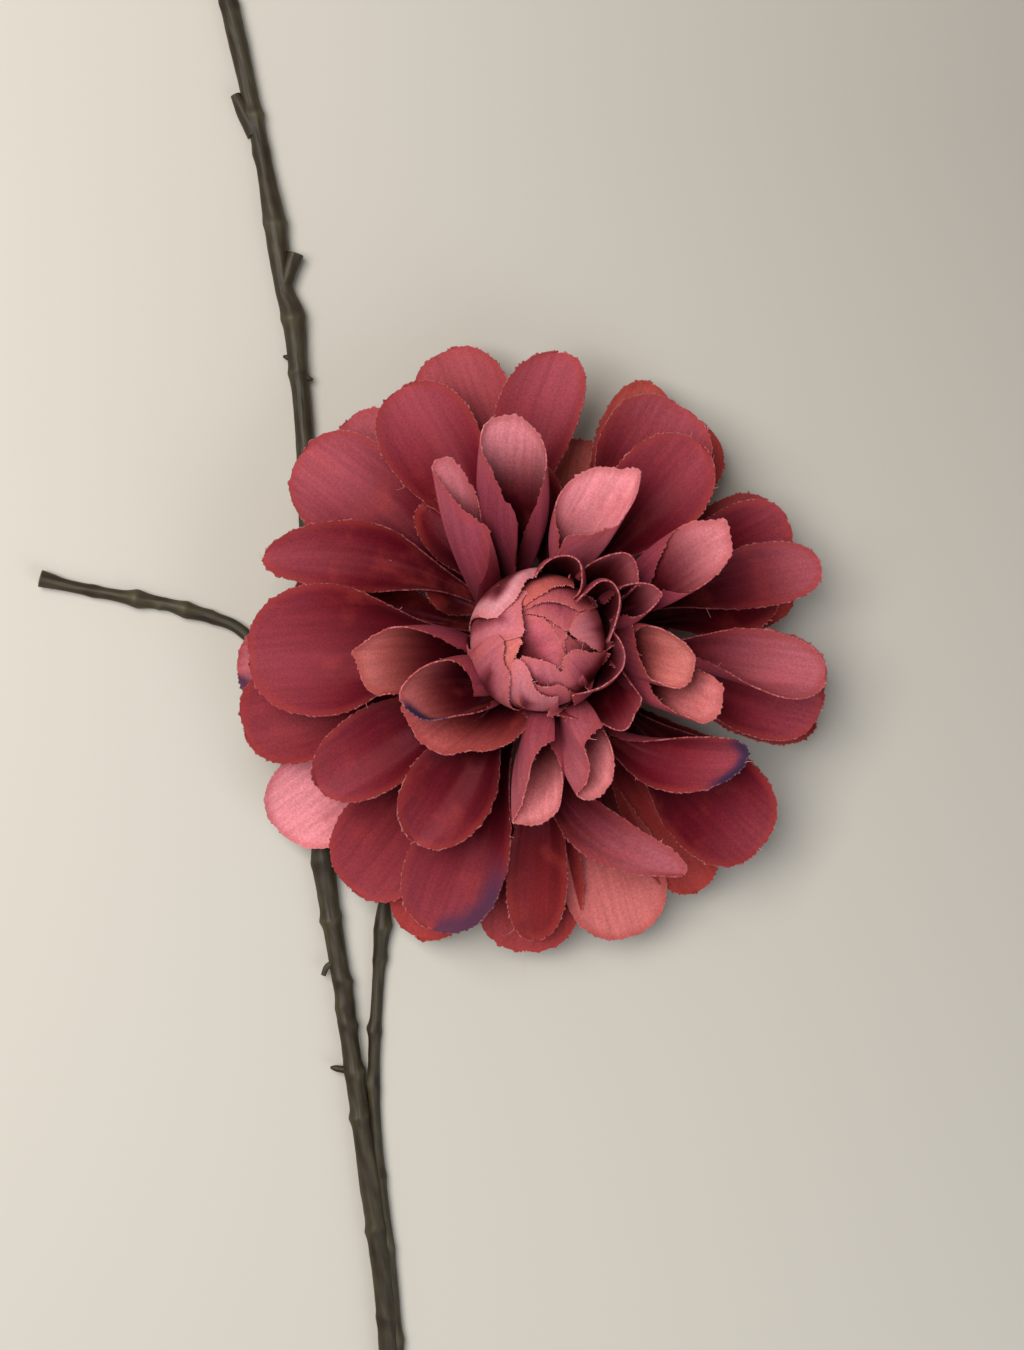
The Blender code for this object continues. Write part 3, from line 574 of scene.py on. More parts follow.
# %% [markdown]
# ## Frayed margins
#
# The petals are stamped from woven cloth, so their margins fray: short teeth every millimetre or
# two, and now and then a thread that hangs loose. The margin's points are pulled outwards by
# seeded random amounts. Doing it in the mesh, not with a texture, gives the outline itself its
# teeth, which shows against the pale background.

# %% Fraying
def margin(rows, columns):
    """Row and column of each point of the free margin, from one side of the foot to the other."""
    up = [(i, 0) for i in range(2, rows)]
    over = [(rows - 1, j) for j in range(1, columns)]
    down = [(i, columns - 1) for i in range(rows - 2, 1, -1)]
    return np.array(up + over + down)


def frayed(points, draw, jitter=0.08, tooth=0.42, share=0.26):
    """The grid with its margin pulled into teeth, and the margin's outward directions."""
    rows, columns = points.shape[:2]
    path = margin(rows, columns)
    i, j = path.T
    rim = points[i, j]
    tangent = unit(np.gradient(rim, axis=0))
    outward = np.cross(tangent, grid_normals(points)[i, j])
    inside = points[np.clip(i, 0, rows - 3), np.clip(j, 2, columns - 3)]
    outward *= np.sign(np.sum(outward * (rim - inside), axis=1))[:, None]
    pull = jitter * draw.standard_normal(len(path))
    teeth = (draw.random(len(path)) < share) * tooth * draw.uniform(0.4, 1.2, len(path))
    pulled = points.copy()
    pulled[i, j] = rim + outward * (pull + teeth)[:, None]
    return pulled, path, outward


def margin_distance(places, path):
    """Distance of each grid point from the free margin, in space or on the flat cloth."""
    edge = places[path[:, 0], path[:, 1]]
    return np.linalg.norm(places[:, :, None] - edge[None, None], axis=-1).min(axis=-1)


print("a margin has", len(margin(ROWS, COLUMNS)), "points")

# %% [markdown]
# ## Dyed polyester satin
#
# The cloth is polyester satin, heat-pressed and dyed by hand, so its colour wanders: orange red on
# some petals, pale rose or peach on others, and a dip of violet at a few margins. Painted light and
# shade go into the same colour: the dark crimson throat is partly dye and partly painted shade, the
# rosier tip is partly a painted satin highlight, the deeper crimson of petals that lie in shade is
# painted shade, and the pale rose inside the rolled cups and on the bud is partly painted light.
# Polyester's index of refraction is about 1.57 and the pressed weave scatters light widely, so
# the surface is rough, and a little sheen gives the pale bloom that such cloth shows where it
# turns away. Frayed margins are paler because cut fibre ends scatter more. The back of the cloth
# took less dye.
#
# The threads lie about 0.12 mm apart. That is finer than one pixel here, and what is left of the
# weave at this distance is a fine uneven grain, so noise about half a millimetre across stands
# for it.

# %% Dyed satin
def dyed_satin(name, throat_dye_and_shade, depth, body, tip, rose, peach, flame, fray, behind):
    material = new_material(name)
    fact = {key: node(material, "ShaderNodeAttribute", attribute_name=key)
            for key in ("along", "rim", "warm", "pale", "deep", "violet", "behind", "cloth")}
    place = fact["cloth"].outputs["Vector"]

    def smoothed(value, low, high, to_low=0.0, to_high=1.0):
        return node(material, "ShaderNodeMapRange", {"Value": value, "From Min": low, "From Max": high,
                    "To Min": to_low, "To Max": to_high}, interpolation_type="SMOOTHSTEP").outputs[0]

    def mixed(share, first, second, blend="MIX"):
        return node(material, "ShaderNodeMix", {0: share, 6: first, 7: second},
                    data_type="RGBA", blend_type=blend).outputs[2]

    def times(first, second):
        return node(material, "ShaderNodeMath", {0: first, 1: second}, operation="MULTIPLY").outputs[0]

    along = fact["along"].outputs["Fac"]
    # rosier towards the tip: partly dye, partly a painted satin highlight
    colour = mixed(smoothed(along, 0.55, 1.05), linear(body), linear(tip))
    # painted shade: darker crimson on petals that lie in shade
    colour = mixed(fact["deep"].outputs["Fac"], colour, linear(depth))
    colour = mixed(times(fact["warm"].outputs["Fac"], smoothed(along, 0.2, 0.8)), colour, linear(flame))
    # pale rose or peach: dye, and in the rolled cups and on the bud partly painted light
    pale_dye_and_painted_light = mixed(fact["warm"].outputs["Fac"], linear(rose), linear(peach))
    colour = mixed(times(fact["pale"].outputs["Fac"], smoothed(along, 0.3, 0.95)), colour, pale_dye_and_painted_light)
    # painted shade with some dye: dark towards the throat, where the petals shade each other
    colour = mixed(smoothed(along, 0.15, 0.88), linear(throat_dye_and_shade), colour)
    colour = mixed(times(fact["behind"].outputs["Fac"], smoothed(along, 0.1, 0.5, 0.2, 0.75)),
                   colour, linear(behind))

    # blotches of dye 9 mm across, and streaks 1.2 mm wide that run along the petal
    blotch = node(material, "ShaderNodeTexNoise", {"Vector": place, "Scale": 1 / (9 * MM), "Detail": 3.0})
    colour = mixed(smoothed(blotch.outputs["Fac"], 0.5, 0.8, 0.0, 0.3), colour, linear(flame))
    stretched = node(material, "ShaderNodeMapping", {"Vector": place, "Scale": (1.0, 0.06, 1.0)})
    streak = node(material, "ShaderNodeTexNoise", {"Vector": stretched.outputs[0], "Scale": 1 / (1.2 * MM),
                  "Detail": 2.0})
    shade = smoothed(streak.outputs["Fac"], 0.25, 0.75, 0.88, 1.1)
    mottle = node(material, "ShaderNodeTexNoise", {"Vector": place, "Scale": 1 / (0.7 * MM), "Detail": 2.0})
    shade = times(shade, smoothed(mottle.outputs["Fac"], 0.3, 0.7, 0.93, 1.07))

    grain = node(material, "ShaderNodeTexNoise", {"Vector": place, "Scale": 1 / (0.45 * MM), "Detail": 1.0})
    shade = times(shade, smoothed(grain.outputs["Fac"], 0.3, 0.7, 0.9, 1.1))
    shades = node(material, "ShaderNodeCombineColor", {0: shade, 1: shade, 2: shade})
    colour = mixed(1.0, colour, shades.outputs[0], "MULTIPLY")

    outer_half = smoothed(along, 0.35, 0.8, 0.2, 1.0)
    glow = times(smoothed(fact["rim"].outputs["Fac"], 0.3, 2.4, 0.4, 0.0), outer_half)
    colour = mixed(glow, colour, linear(flame))
    fluffy = times(smoothed(mottle.outputs["Fac"], 0.4, 0.7, 0.0, 0.55), outer_half)
    edge = times(smoothed(fact["rim"].outputs["Fac"], 0.0, 0.2), -1.0)
    edge = node(material, "ShaderNodeMath", {0: edge, 1: 1.0}, operation="ADD").outputs[0]
    colour = mixed(fact["violet"].outputs["Fac"], colour, linear("3c2a44"))
    colour = mixed(times(edge, fluffy), colour, linear(fray))

    height = node(material, "ShaderNodeMath", {0: grain.outputs["Fac"], 1: mottle.outputs["Fac"]}, operation="ADD")
    bump = node(material, "ShaderNodeBump", {"Height": height.outputs[0], "Strength": 0.3, "Distance": 0.1 * MM})
    shader = node(material, "ShaderNodeBsdfPrincipled", {
        "Base Color": colour, "Roughness": 0.42, "IOR": 1.57, "Normal": bump.outputs[0],
        "Specular IOR Level": 0.16, "Specular Tint": linear("f09098"),
        "Sheen Weight": 0.03, "Sheen Roughness": 0.5, "Sheen Tint": linear("e8a0a8")})
    node(material, "ShaderNodeOutputMaterial", {"Surface": shader.outputs[0]})
    return material


crimson_satin = dyed_satin("crimson_polyester_satin", throat_dye_and_shade="2a0309", depth="560a14", body="701624", tip="98404b",
                           rose="e88d95", peach="dc8278", flame="a23a33", fray="d08f90", behind="8c3a4a")
rose_satin = dyed_satin("rose_polyester_satin", throat_dye_and_shade="4a1019", depth="8a3a46", body="a84c58", tip="b45a66",
                        rose="e8a0aa", peach="e39a8c", flame="c4615a", fray="dba5a5", behind="9a3c4c")
print("satin nodes:", len(crimson_satin.node_tree.nodes))

# %% [markdown]
# ## Make the petals
#
# Each petal becomes its own piece, as each is its own piece of cloth. Every other foot sits a
# little higher, as in a real double row, so neighbours don't cut through each other at the
# claws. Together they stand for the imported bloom, which stays in the physics model.

# %% Build every tier
CLOTH = 0.32      # satin with its stiffening


def dye_facts(petal, flat, s, t, rim, number):
    """How much of each dye, and of the painted shade, every grid point took."""
    cloth = np.concatenate([flat * MM, np.full(s.shape + (1,), number * 0.037)], axis=-1)
    violet = np.zeros(s.shape)
    if petal.violet:
        amount, where = petal.violet
        if where:
            violet = amount * ease(1.3 - rim / 5.0) * ease((where * t + 0.1) / 0.5) * ease((s - 0.62) / 0.2)
        else:
            violet = amount * ease(1.3 - rim / 2.5) * ease((s - 0.84) / 0.1)
    return {"along": s ** petal.run, "rim": rim, "warm": petal.warm + 0 * s, "pale": petal.pale + 0 * s,
            "deep": petal.deep + 0 * s, "violet": violet, "cloth": cloth}


petal_pieces = []
thread_roots = []
for tier in tiers:
    for number, petal in enumerate(tier.petals):
        draw = np.random.default_rng(1000 * tiers.index(tier) + number)
        stagger = 1.1 if number % 2 else -1.1
        lift = stagger if petal.lift is None else petal.lift
        points, flat, s, t = petal_surface(petal, tier, lift, draw)
        points, path, outward = frayed(points, draw)
        rim = margin_distance(flat, path)
        facts = dye_facts(petal, flat, s, t, rim, len(petal_pieces))
        piece = add_sheet(f"{tier.name}_{number + 1:02d}", points, CLOTH, crimson_satin, facts)
        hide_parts("bloom")
        petal_pieces.append(piece)
        for k in draw.choice(len(path), 3, replace=False):
            thread_roots.append((points[path[k, 0], path[k, 1]], outward[k]))
    print(tier.name, "pieces:", len(tier.petals))

# %% Build the rolled petals
for number, petal in enumerate(rolled_petals):
    draw = np.random.default_rng(4000 + number)
    points, flat, share = rolled_surface(petal, draw)
    points, path, outward = frayed(points, draw)
    rim = margin_distance(points, path)
    # along carries the throat's darkening, partly dye and partly painted shade
    from_foot = np.linalg.norm(points - np.array(petal.foot), axis=-1)
    along = (from_foot / from_foot.max()) ** petal.run
    violet = 0 * along
    if petal.violet:
        amount, first, last = petal.violet
        violet = amount * ease(1.4 - rim / 2.6) * ease((share - first) / 0.06) * ease((last - share) / 0.06)
    cloth = np.concatenate([flat * MM, np.full(along.shape + (1,), 3 + number * 0.037)], axis=-1)
    facts = {"along": along, "rim": rim, "warm": petal.warm + 0 * along, "pale": petal.pale + 0 * along,
             "deep": petal.deep + 0 * along, "violet": violet, "cloth": cloth}
    piece = add_sheet(f"rolled_petal_{number + 1:02d}", points, CLOTH, crimson_satin, facts)
    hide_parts("bloom")
    petal_pieces.append(piece)
    thread_roots.append((points[path[60, 0], path[60, 1]], outward[60]))
print("rolled petal pieces:", len(rolled_petals))

# %% [markdown]
# ## The receptacle
#
# Between the claws of the petals one can look down to what they sit in: a moulded core. Its
# near-black colour, as dark as the throats, is painted shade for the depth between the claws. It
# is turned from a profile, and sits inside the imported solid's core.

# %% Turned bodies
def turned(profile, sides):
    """Points and faces of a body of revolution; the (radius, height) profile runs up its outside."""
    points = [(0, 0, profile[0][1])]
    for radius, height in profile:
        points += [tuple(polar(360 * k / sides, radius, height)) for k in range(sides)]
    points.append((0, 0, profile[-1][1]))
    top = len(points) - 1
    faces = []
    for k in range(sides):
        n = (k + 1) % sides
        faces += [(0, 1 + n, 1 + k), (top, top - sides + k, top - sides + n)]
        for i in range(len(profile) - 1):
            a = 1 + i * sides
            faces.append((a + k, a + n, a + sides + n, a + sides + k))
    return np.array(points), faces


def painted_shade_core():
    material = new_material("moulded_core_painted_shade")
    grain = node(material, "ShaderNodeTexNoise", {"Scale": 1 / (1.5 * MM), "Detail": 3.0})
    # painted shade: near-black crimson, for the depth between the claws and between the bud petals
    colour = node(material, "ShaderNodeMix", {0: grain.outputs["Fac"], 6: linear("2a070c"), 7: linear("4a0d16")},
                  data_type="RGBA")
    shader = node(material, "ShaderNodeBsdfPrincipled", {"Base Color": colour.outputs[2], "Roughness": 0.8})
    node(material, "ShaderNodeOutputMaterial", {"Surface": shader.outputs[0]})
    return material


core_profile = [(3.0, 14.2), (9.5, 14.4), (11.6, 16), (12.4, 20), (12.4, 28), (11.5, 33), (9.0, 35.5), (3.0, 36)]
core_points, core_faces = turned(core_profile, 64)
core = finish_mesh("receptacle", core_points, core_faces, painted_shade_core())
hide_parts("bloom")
print("receptacle:", len(core_points), "points")

# %% [markdown]
# ## The bud
#
# The middle of the flower is a closed bud of curved petals that wrap one another. Each is a
# patch on a ball, given by the direction of its foot and by the line that its free edge follows,
# seen from above. The outer ones lie on larger balls, and each free edge is lifted a little off
# its ball, so that every edge throws its own fine shadow.

# %% What describes a bud petal
@dataclass
class BudPetal:
    toward: float        # direction of its foot
    radius: float        # of the ball it lies on
    edge: list           # x and y of its free edge, from the anticlockwise side to the other
    spread: float = 40.0  # half width of its foot, in degrees
    lip: float = 1.0     # free edge further out
    warm: float = 0.0
    # on the bud, pale and deep are partly dye and partly painted light and painted shade
    pale: float = 0.0
    deep: float = 0.0


# %% Bud plan
bud_petals = [
    BudPetal(133, 16.7, [(-15.4, 5), (-13.6, 4.3), (-12, 4.1), (-10.4, 4.6), (-9, 6), (-7, 7.6), (-5.4, 10.2),
                         (-4.5, 12.1), (-2.7, 13.4), (-1.5, 15), (-0.6, 16.5)], pale=0.8),
    BudPetal(180, 16.1, [(-16.6, -3), (-12, -1.4), (-9, -0.5), (-6.6, -0.3), (-5.2, 0.6), (-5.1, 3), (-5.6, 5.5),
                         (-5.4, 8), (-4.5, 9.6), (-7, 10.5), (-10.5, 11.5)], pale=0.2),
    BudPetal(215, 16.9, [(-8.2, -14.6), (-8.6, -12.5), (-8.2, -10.5), (-8, -8.5), (-8.4, -7.2), (-9.3, -5.5),
                         (-9.3, -4), (-9.1, -2), (-9.5, -0.4), (-11, 0.5), (-12.5, -1.1), (-14.6, -2.8),
                         (-17, -4.6)], pale=0.1, deep=0.25),
    BudPetal(225, 15.9, [(-6.2, -14), (-6.3, -11.5), (-7, -9), (-7.5, -7), (-7.4, -5.5), (-6.6, -3.5), (-5.4, -0.8),
                         (-7, -0.2), (-9, -0.5), (-12.5, -2)], warm=0.8, pale=0.2),
    BudPetal(258, 16.2, [(0.2, -17.6), (0.9, -15.3), (2.2, -12.9), (1, -12.9), (-0.6, -12.5), (-2, -11.4),
                         (-3.2, -9.6), (-3.5, -8), (-4.3, -6.4), (-5.3, -5.1), (-6.6, -4.7), (-7.3, -5.5),
                         (-8.2, -8), (-10, -12)], pale=0.3),
    BudPetal(288, 15.4, [(6.5, -13.6), (5.4, -11.9), (4, -11), (2.6, -10), (1, -10.4), (-0.8, -10.5), (-2.3, -10),
                         (-3.3, -9.3), (-5, -10.5), (-7.5, -13)], deep=0.2),
    BudPetal(292, 14.7, [(9.5, -12), (8, -10), (7.3, -7.9), (6.2, -8.2), (4, -7.8), (2.6, -7.3), (1.6, -6.2),
                         (0.3, -5.2), (-1, -4.9), (-3, -4.4), (-4.8, -4.1), (-6.5, -5), (-8.5, -7)], pale=0.1),
    BudPetal(205, 14.0, [(3, -9), (3.5, -5.5), (3.3, -3.2), (2.6, -1), (1.5, 1.2), (0.3, 3), (-1.2, 4.1),
                         (-3.2, 4.6), (-6, 5.2)], 50, 0.4),
    BudPetal(215, 13.4, [(3.6, -8), (3.7, -3), (3.4, -1), (4, 0.4), (3.3, 1.6), (2, 2.6), (0.5, 3.6), (-1.5, 4.6),
                         (-5, 6)], 50, 0.6, deep=0.2),
    BudPetal(325, 13.2, [(8, 0.5), (6.6, -0.6), (4.9, 0), (3.9, 0.6), (3.2, -1), (3, -4)], 30, 0.4, deep=0.4),
    BudPetal(75, 14.1, [(-7, 5), (-3.8, 4.8), (-1.2, 4.4), (0.8, 3.2), (2.4, 2.2), (3.4, 1.4), (4.2, 1.4),
                        (4.9, 2.4), (5.6, 3.7), (6.8, 4.8), (9, 5.5)], deep=0.2),
    BudPetal(73, 14.8, [(-8, 5.4), (-4.8, 5.8), (-3, 6.6), (-0.5, 7.2), (2, 7.2), (4, 6.8), (5.6, 6.1), (7, 5.7),
                        (8.3, 6.1), (11, 7)], warm=0.2),
    BudPetal(98, 15.6, [(-8, 6), (-4.9, 6.9), (-3.4, 7.9), (-1.8, 8.6), (-0.5, 9.3), (0.8, 10.2), (2.8, 10.9),
                        (4.5, 11.3), (5.8, 11.3), (5, 12.6), (5, 14)], warm=0.9),
    BudPetal(12, 14.9, [(11, 7.5), (8.5, 5.4), (6.6, 4.8), (5.3, 3.2), (4.5, 1.6), (4.7, 0.6), (6, -0.4),
                        (8, -1.2), (10, -2.3), (11.6, -3.1), (14, -3.6)], pale=0.3),
    BudPetal(322, 15.1, [(15, -1.6), (14.2, -1.9), (12.8, -2.9), (11.5, -3.4), (9.5, -3.3), (7.3, -3), (5.3, -2.7),
                         (4, -3.5), (3.3, -4.4), (3.3, -7), (4, -10)], deep=0.1),
]
BUD_FOOT = 104.0     # degrees from the pole


# %% Build the bud
def bud_surface(petal, draw):
    """Middle points of a bud petal, and each point's place on the flat cloth."""
    aside = np.array(even_course([(*point, 0) for point in petal.edge], RIM_COLUMNS)) - BUD_CENTRE
    reach = np.hypot(aside[:, 0], aside[:, 1])
    radius = np.maximum(petal.radius, reach / 0.97)
    edge = np.stack([aside[:, 0], aside[:, 1], np.sqrt(radius ** 2 - reach ** 2)], axis=-1) / radius[:, None]
    t = np.linspace(-1, 1, RIM_COLUMNS)
    down = math.radians(BUD_FOOT)
    turn = np.radians(petal.toward - petal.spread * t)
    foot = np.stack([math.sin(down) * np.cos(turn), math.sin(down) * np.sin(turn),
                     np.full(RIM_COLUMNS, math.cos(down))], axis=-1)
    between = np.arccos(np.clip(np.sum(foot * edge, axis=1), -1, 1))[None, :, None]
    s = rows_to_rim(petal.radius * between.mean())
    ray = (np.sin((1 - s) * between) * foot + np.sin(s * between) * edge) / np.sin(between)
    middle_of = 1 - t[None, :, None] ** 2
    swell = petal.lip * ease((s - 0.4) / 0.6) * (0.4 + 0.9 * middle_of)
    swell = swell + 0.25 * np.sin(4 * s + 5 * t[None, :, None] + draw.uniform(0, 6)) * s
    points = BUD_CENTRE + ray * (petal.radius * (1 - s) + radius[None, :, None] * s + swell)
    return points, cloth_grid(points), s[..., 0] + 0 * t


bud_pieces = []
for number, petal in enumerate(bud_petals):
    draw = np.random.default_rng(7000 + number)
    points, flat, s = bud_surface(petal, draw)
    points, path, outward = frayed(points, draw, jitter=0.06, tooth=0.32)
    rim = margin_distance(points, path)
    cloth = np.concatenate([flat * MM, np.full(s.shape + (1,), 5 + number * 0.037)], axis=-1)
    # along here is painted shade and light: darker away from the petal's own free edge, where it runs under the next,
    # lighter along that edge
    facts = {"along": 0.15 + 0.85 * ease(1.1 - rim / 7.5), "rim": rim, "warm": petal.warm + 0 * s,
             "pale": petal.pale + 0 * s, "deep": petal.deep + 0 * s, "violet": 0 * s, "cloth": cloth}
    piece = add_sheet(f"bud_petal_{number + 1:02d}", points, CLOTH, rose_satin, facts)
    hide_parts("bud")
    bud_pieces.append(piece)
    thread_roots.append((points[path[90, 0], path[90, 1]], outward[90]))
# a near-black ball under the bud petals: painted shade in the gaps between them
ball = [(12.0 * math.sin(a), -12.0 * math.cos(a)) for a in np.radians(np.linspace(4, 176, 30))]
ball_points, ball_faces = turned(ball, 48)
bud_core = finish_mesh("bud_core", ball_points + BUD_CENTRE, ball_faces, painted_shade_core())
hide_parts("bud")
print("bud petals:", len(bud_pieces))

# %% [markdown]
# ## The twig
#
# The twig is injection moulded polyethylene round a steel wire. It has the ridges and knuckles
# of bark, cast in the mould. Each limb is a tube swept along its course, with many more rings
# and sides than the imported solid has, and the bark is a seeded sum of waves on its radius. Knots
# are rings that stand up to 0.8 mm proud and lie a little slanted, as leaf scars do. Underneath,
# where the twig lies on the floor, it is pressed flat so that nothing reaches below it.

# %% Courses of the limbs: x, y, height of the middle, radius
long_limb = [
    (-84.5, 190, 2.1, 1.7), (-81, 168, 2.2, 1.9), (-77.7, 154.2, 2.4, 2.4), (-73.7, 136.4, 2.4, 2.1),
    (-70.2, 119.6, 2.4, 2.1), (-67.6, 104.8, 2.7, 2.7), (-65.4, 89.2, 2.5, 2.3), (-62.9, 81.2, 2.8, 2.8),
    (-61.6, 67.9, 2.5, 2.3), (-60.1, 50.4, 2.4, 2.2), (-58.6, 10, 2.4, 2.2), (-56.6, -35, 2.5, 2.3),
    (-55.1, -55.9, 2.8, 2.8), (-53.4, -69.4, 2.6, 2.5), (-50.4, -87.2, 2.5, 2.3), (-48.9, -99, 2.5, 2.3),
    (-45.8, -121, 2.5, 2.4), (-43.6, -136.3, 2.6, 2.6), (-40.8, -157.6, 2.5, 2.4),
    (-39.0, -177.7, 2.5, 2.4), (-36.5, -210, 2.5, 2.4), (-34, -248, 2.5, 2.4)]
flower_limb = [
    (-31.8, -248, 1.7, 1.5), (-34.3, -210, 1.7, 1.5), (-36.8, -177.7, 1.7, 1.5), (-38.5, -157.6, 1.7, 1.5),
    (-41.1, -136.3, 1.8, 1.6), (-42.4, -121, 1.7, 1.5), (-42.7, -110, 1.7, 1.5), (-42.5, -100, 1.7, 1.5),
    (-41.6, -84, 1.7, 1.5), (-40.6, -71.9, 2.0, 2.0), (-39.6, -63.9, 1.7, 1.5), (-36, -52, 1.7, 1.5),
    (-28, -37, 1.8, 1.6), (-16, -20, 2.1, 1.8), (-7.5, -9, 2.4, 2.0), (-3.4, -4.1, 2.6, 2.2),
    (-0.8, -1.0, 4.3, 2.3), (0, 0, 6.6, 2.4), (0, 0, 8.4, 2.4), (0, 0, 10.5, 2.4)]
side_twig = [
    (-56.8, -38, 2.4, 1.7), (-61, -20, 2.0, 1.6), (-68, -6, 1.9, 1.5), (-76.2, 2.8, 1.9, 1.5),
    (-83.4, 6, 1.9, 1.5), (-89.7, 7.8, 2.0, 1.9), (-95.7, 9.5, 1.9, 1.5), (-102, 10.5, 2.0, 2.0),
    (-108, 11.6, 1.9, 1.5), (-119, 13.8, 1.9, 1.5), (-124, 15.1, 2.1, 1.9), (-126.4, 15.7, 2.3, 2.2)]
upper_stub = [(-72.6, 127, 2.4, 1.9), (-75.4, 132.8, 2.5, 1.8), (-77.4, 137, 2.6, 1.3)]
open_stub = [(-65.6, 88, 2.8, 2.0), (-63.6, 93.2, 3.0, 1.8), (-62.2, 97.2, 3.1, 2.1)]
hook = [(-51.9, -80.6, 2.7, 1.0), (-54.3, -81.6, 3.0, 0.8), (-55.3, -83.8, 3.2, 0.6)]
spurs = [(-61.9, 70.5, 165), (-61.4, 66.5, -15), (-50.0, -107.5, 170), (-47.6, -116.4, 10)]
print("limb points:", len(long_limb), len(flower_limb), len(side_twig))


# %% Sweep a limb
def bark(around, down, draw, depth):
    """A relief of long ridges and short knuckles; around in radians, down in millimetres."""
    relief = 0.0
    for waves, length, share in ((3, 40, 0.5), (5, 22, 0.45), (8, 13, 0.3), (2, 9, 0.35), (11, 6, 0.2)):
        relief = relief + share * np.sin(waves * around + 2 * np.pi * down / length + draw.uniform(0, 6.28)) \
            * np.sin(2 * np.pi * down / (length * 1.7) + draw.uniform(0, 6.28))
    return depth * relief


def swept(course, seed, sides=28, step=0.9, depth=0.07, bore=None, knots=()):
    """Points, faces and facts of a limb; a bore leaves its last end open, and knots stand proud of it."""
    draw = np.random.default_rng(seed)
    rings = smooth_course(course, step)
    centre, radius = rings[:, :3], rings[:, 3]
    heading = unit(np.gradient(centre, axis=0))
    down = np.concatenate([[0], np.cumsum(np.linalg.norm(np.diff(centre, axis=0), axis=1))])
    side = np.cross(heading[0], (0.1, 0.2, 1.0))
    sides_of = []
    for direction in heading:
        side = side - direction * (side @ direction)
        side = side / np.linalg.norm(side)
        sides_of.append(side)
    sides_of = np.array(sides_of)
    others = np.cross(heading, sides_of)
    around = 2 * np.pi * np.arange(sides) / sides
    relief = radius[:, None] * (1 + bark(around[None, :], down[:, None], draw, depth))
    for x, y, proud in knots:
        at = down[np.argmin(np.linalg.norm(centre[:, :2] - (x, y), axis=1))]
        towards = np.cos(around[None, :] - draw.uniform(0, 6.28))
        ring = np.exp(-np.abs((down[:, None] - at - 0.6 * towards) / draw.uniform(1.2, 2.2)) ** 1.5)
        relief = relief + proud * ring * (0.65 + 0.35 * towards)
    cut = np.zeros(len(rings))
    if bore:
        hole, deep = bore
        inner_rings = [(0, hole), (-deep, hole * 0.9)]
        for back_by, wide in inner_rings:
            centre = np.concatenate([centre, centre[len(rings) - 1:len(rings)] + back_by * heading[-1]])
            relief = np.concatenate([relief, np.full((1, sides), wide)])
        sides_of = np.concatenate([sides_of, np.repeat(sides_of[-1:], 2, axis=0)])
        others = np.concatenate([others, np.repeat(others[-1:], 2, axis=0)])
        down = np.concatenate([down, down[-1] + np.array([1.0, 2.0])])
        cut = np.concatenate([cut, [1.0, 1.0]])
        cut[len(rings) - 1] = 1.0
    points = centre[:, None] + relief[..., None] * (
        np.cos(around)[None, :, None] * sides_of[:, None] + np.sin(around)[None, :, None] * others[:, None])
    points[..., 2] = np.maximum(points[..., 2], FLOOR_GAP)
    count = len(centre)
    index = np.arange(count * sides).reshape(count, sides)
    a, b = index[:-1], index[1:]
    faces = np.stack([a, np.roll(a, -1, axis=1), np.roll(b, -1, axis=1), b], axis=-1).reshape(-1, 4).tolist()
    faces.append(index[0][::-1].tolist())
    faces.append(index[-1].tolist())
    bark_place = np.stack([np.repeat(radius.mean() * around[None, :], count, axis=0),
                           np.repeat(down[:, None], sides, axis=1),
                           np.full((count, sides), 3.0 * seed)], axis=-1) * MM
    ridge = relief / relief.mean(axis=1, keepdims=True)
    return points.reshape(-1, 3), faces, {"bark": bark_place.reshape(-1, 3), "ridge": ridge.ravel(),
                                          "cut": np.repeat(cut, sides)}


# %% [markdown]
# The plastic is coloured in the mass, a dark olive brown, and brushed with a thinner greenish
# paint that stays on the raised ridges. Polyethylene's index of refraction is 1.51. Its moulded
# skin has a satin gloss with fine grooves along the limb. At a cut end the bare plastic shows
# paler.

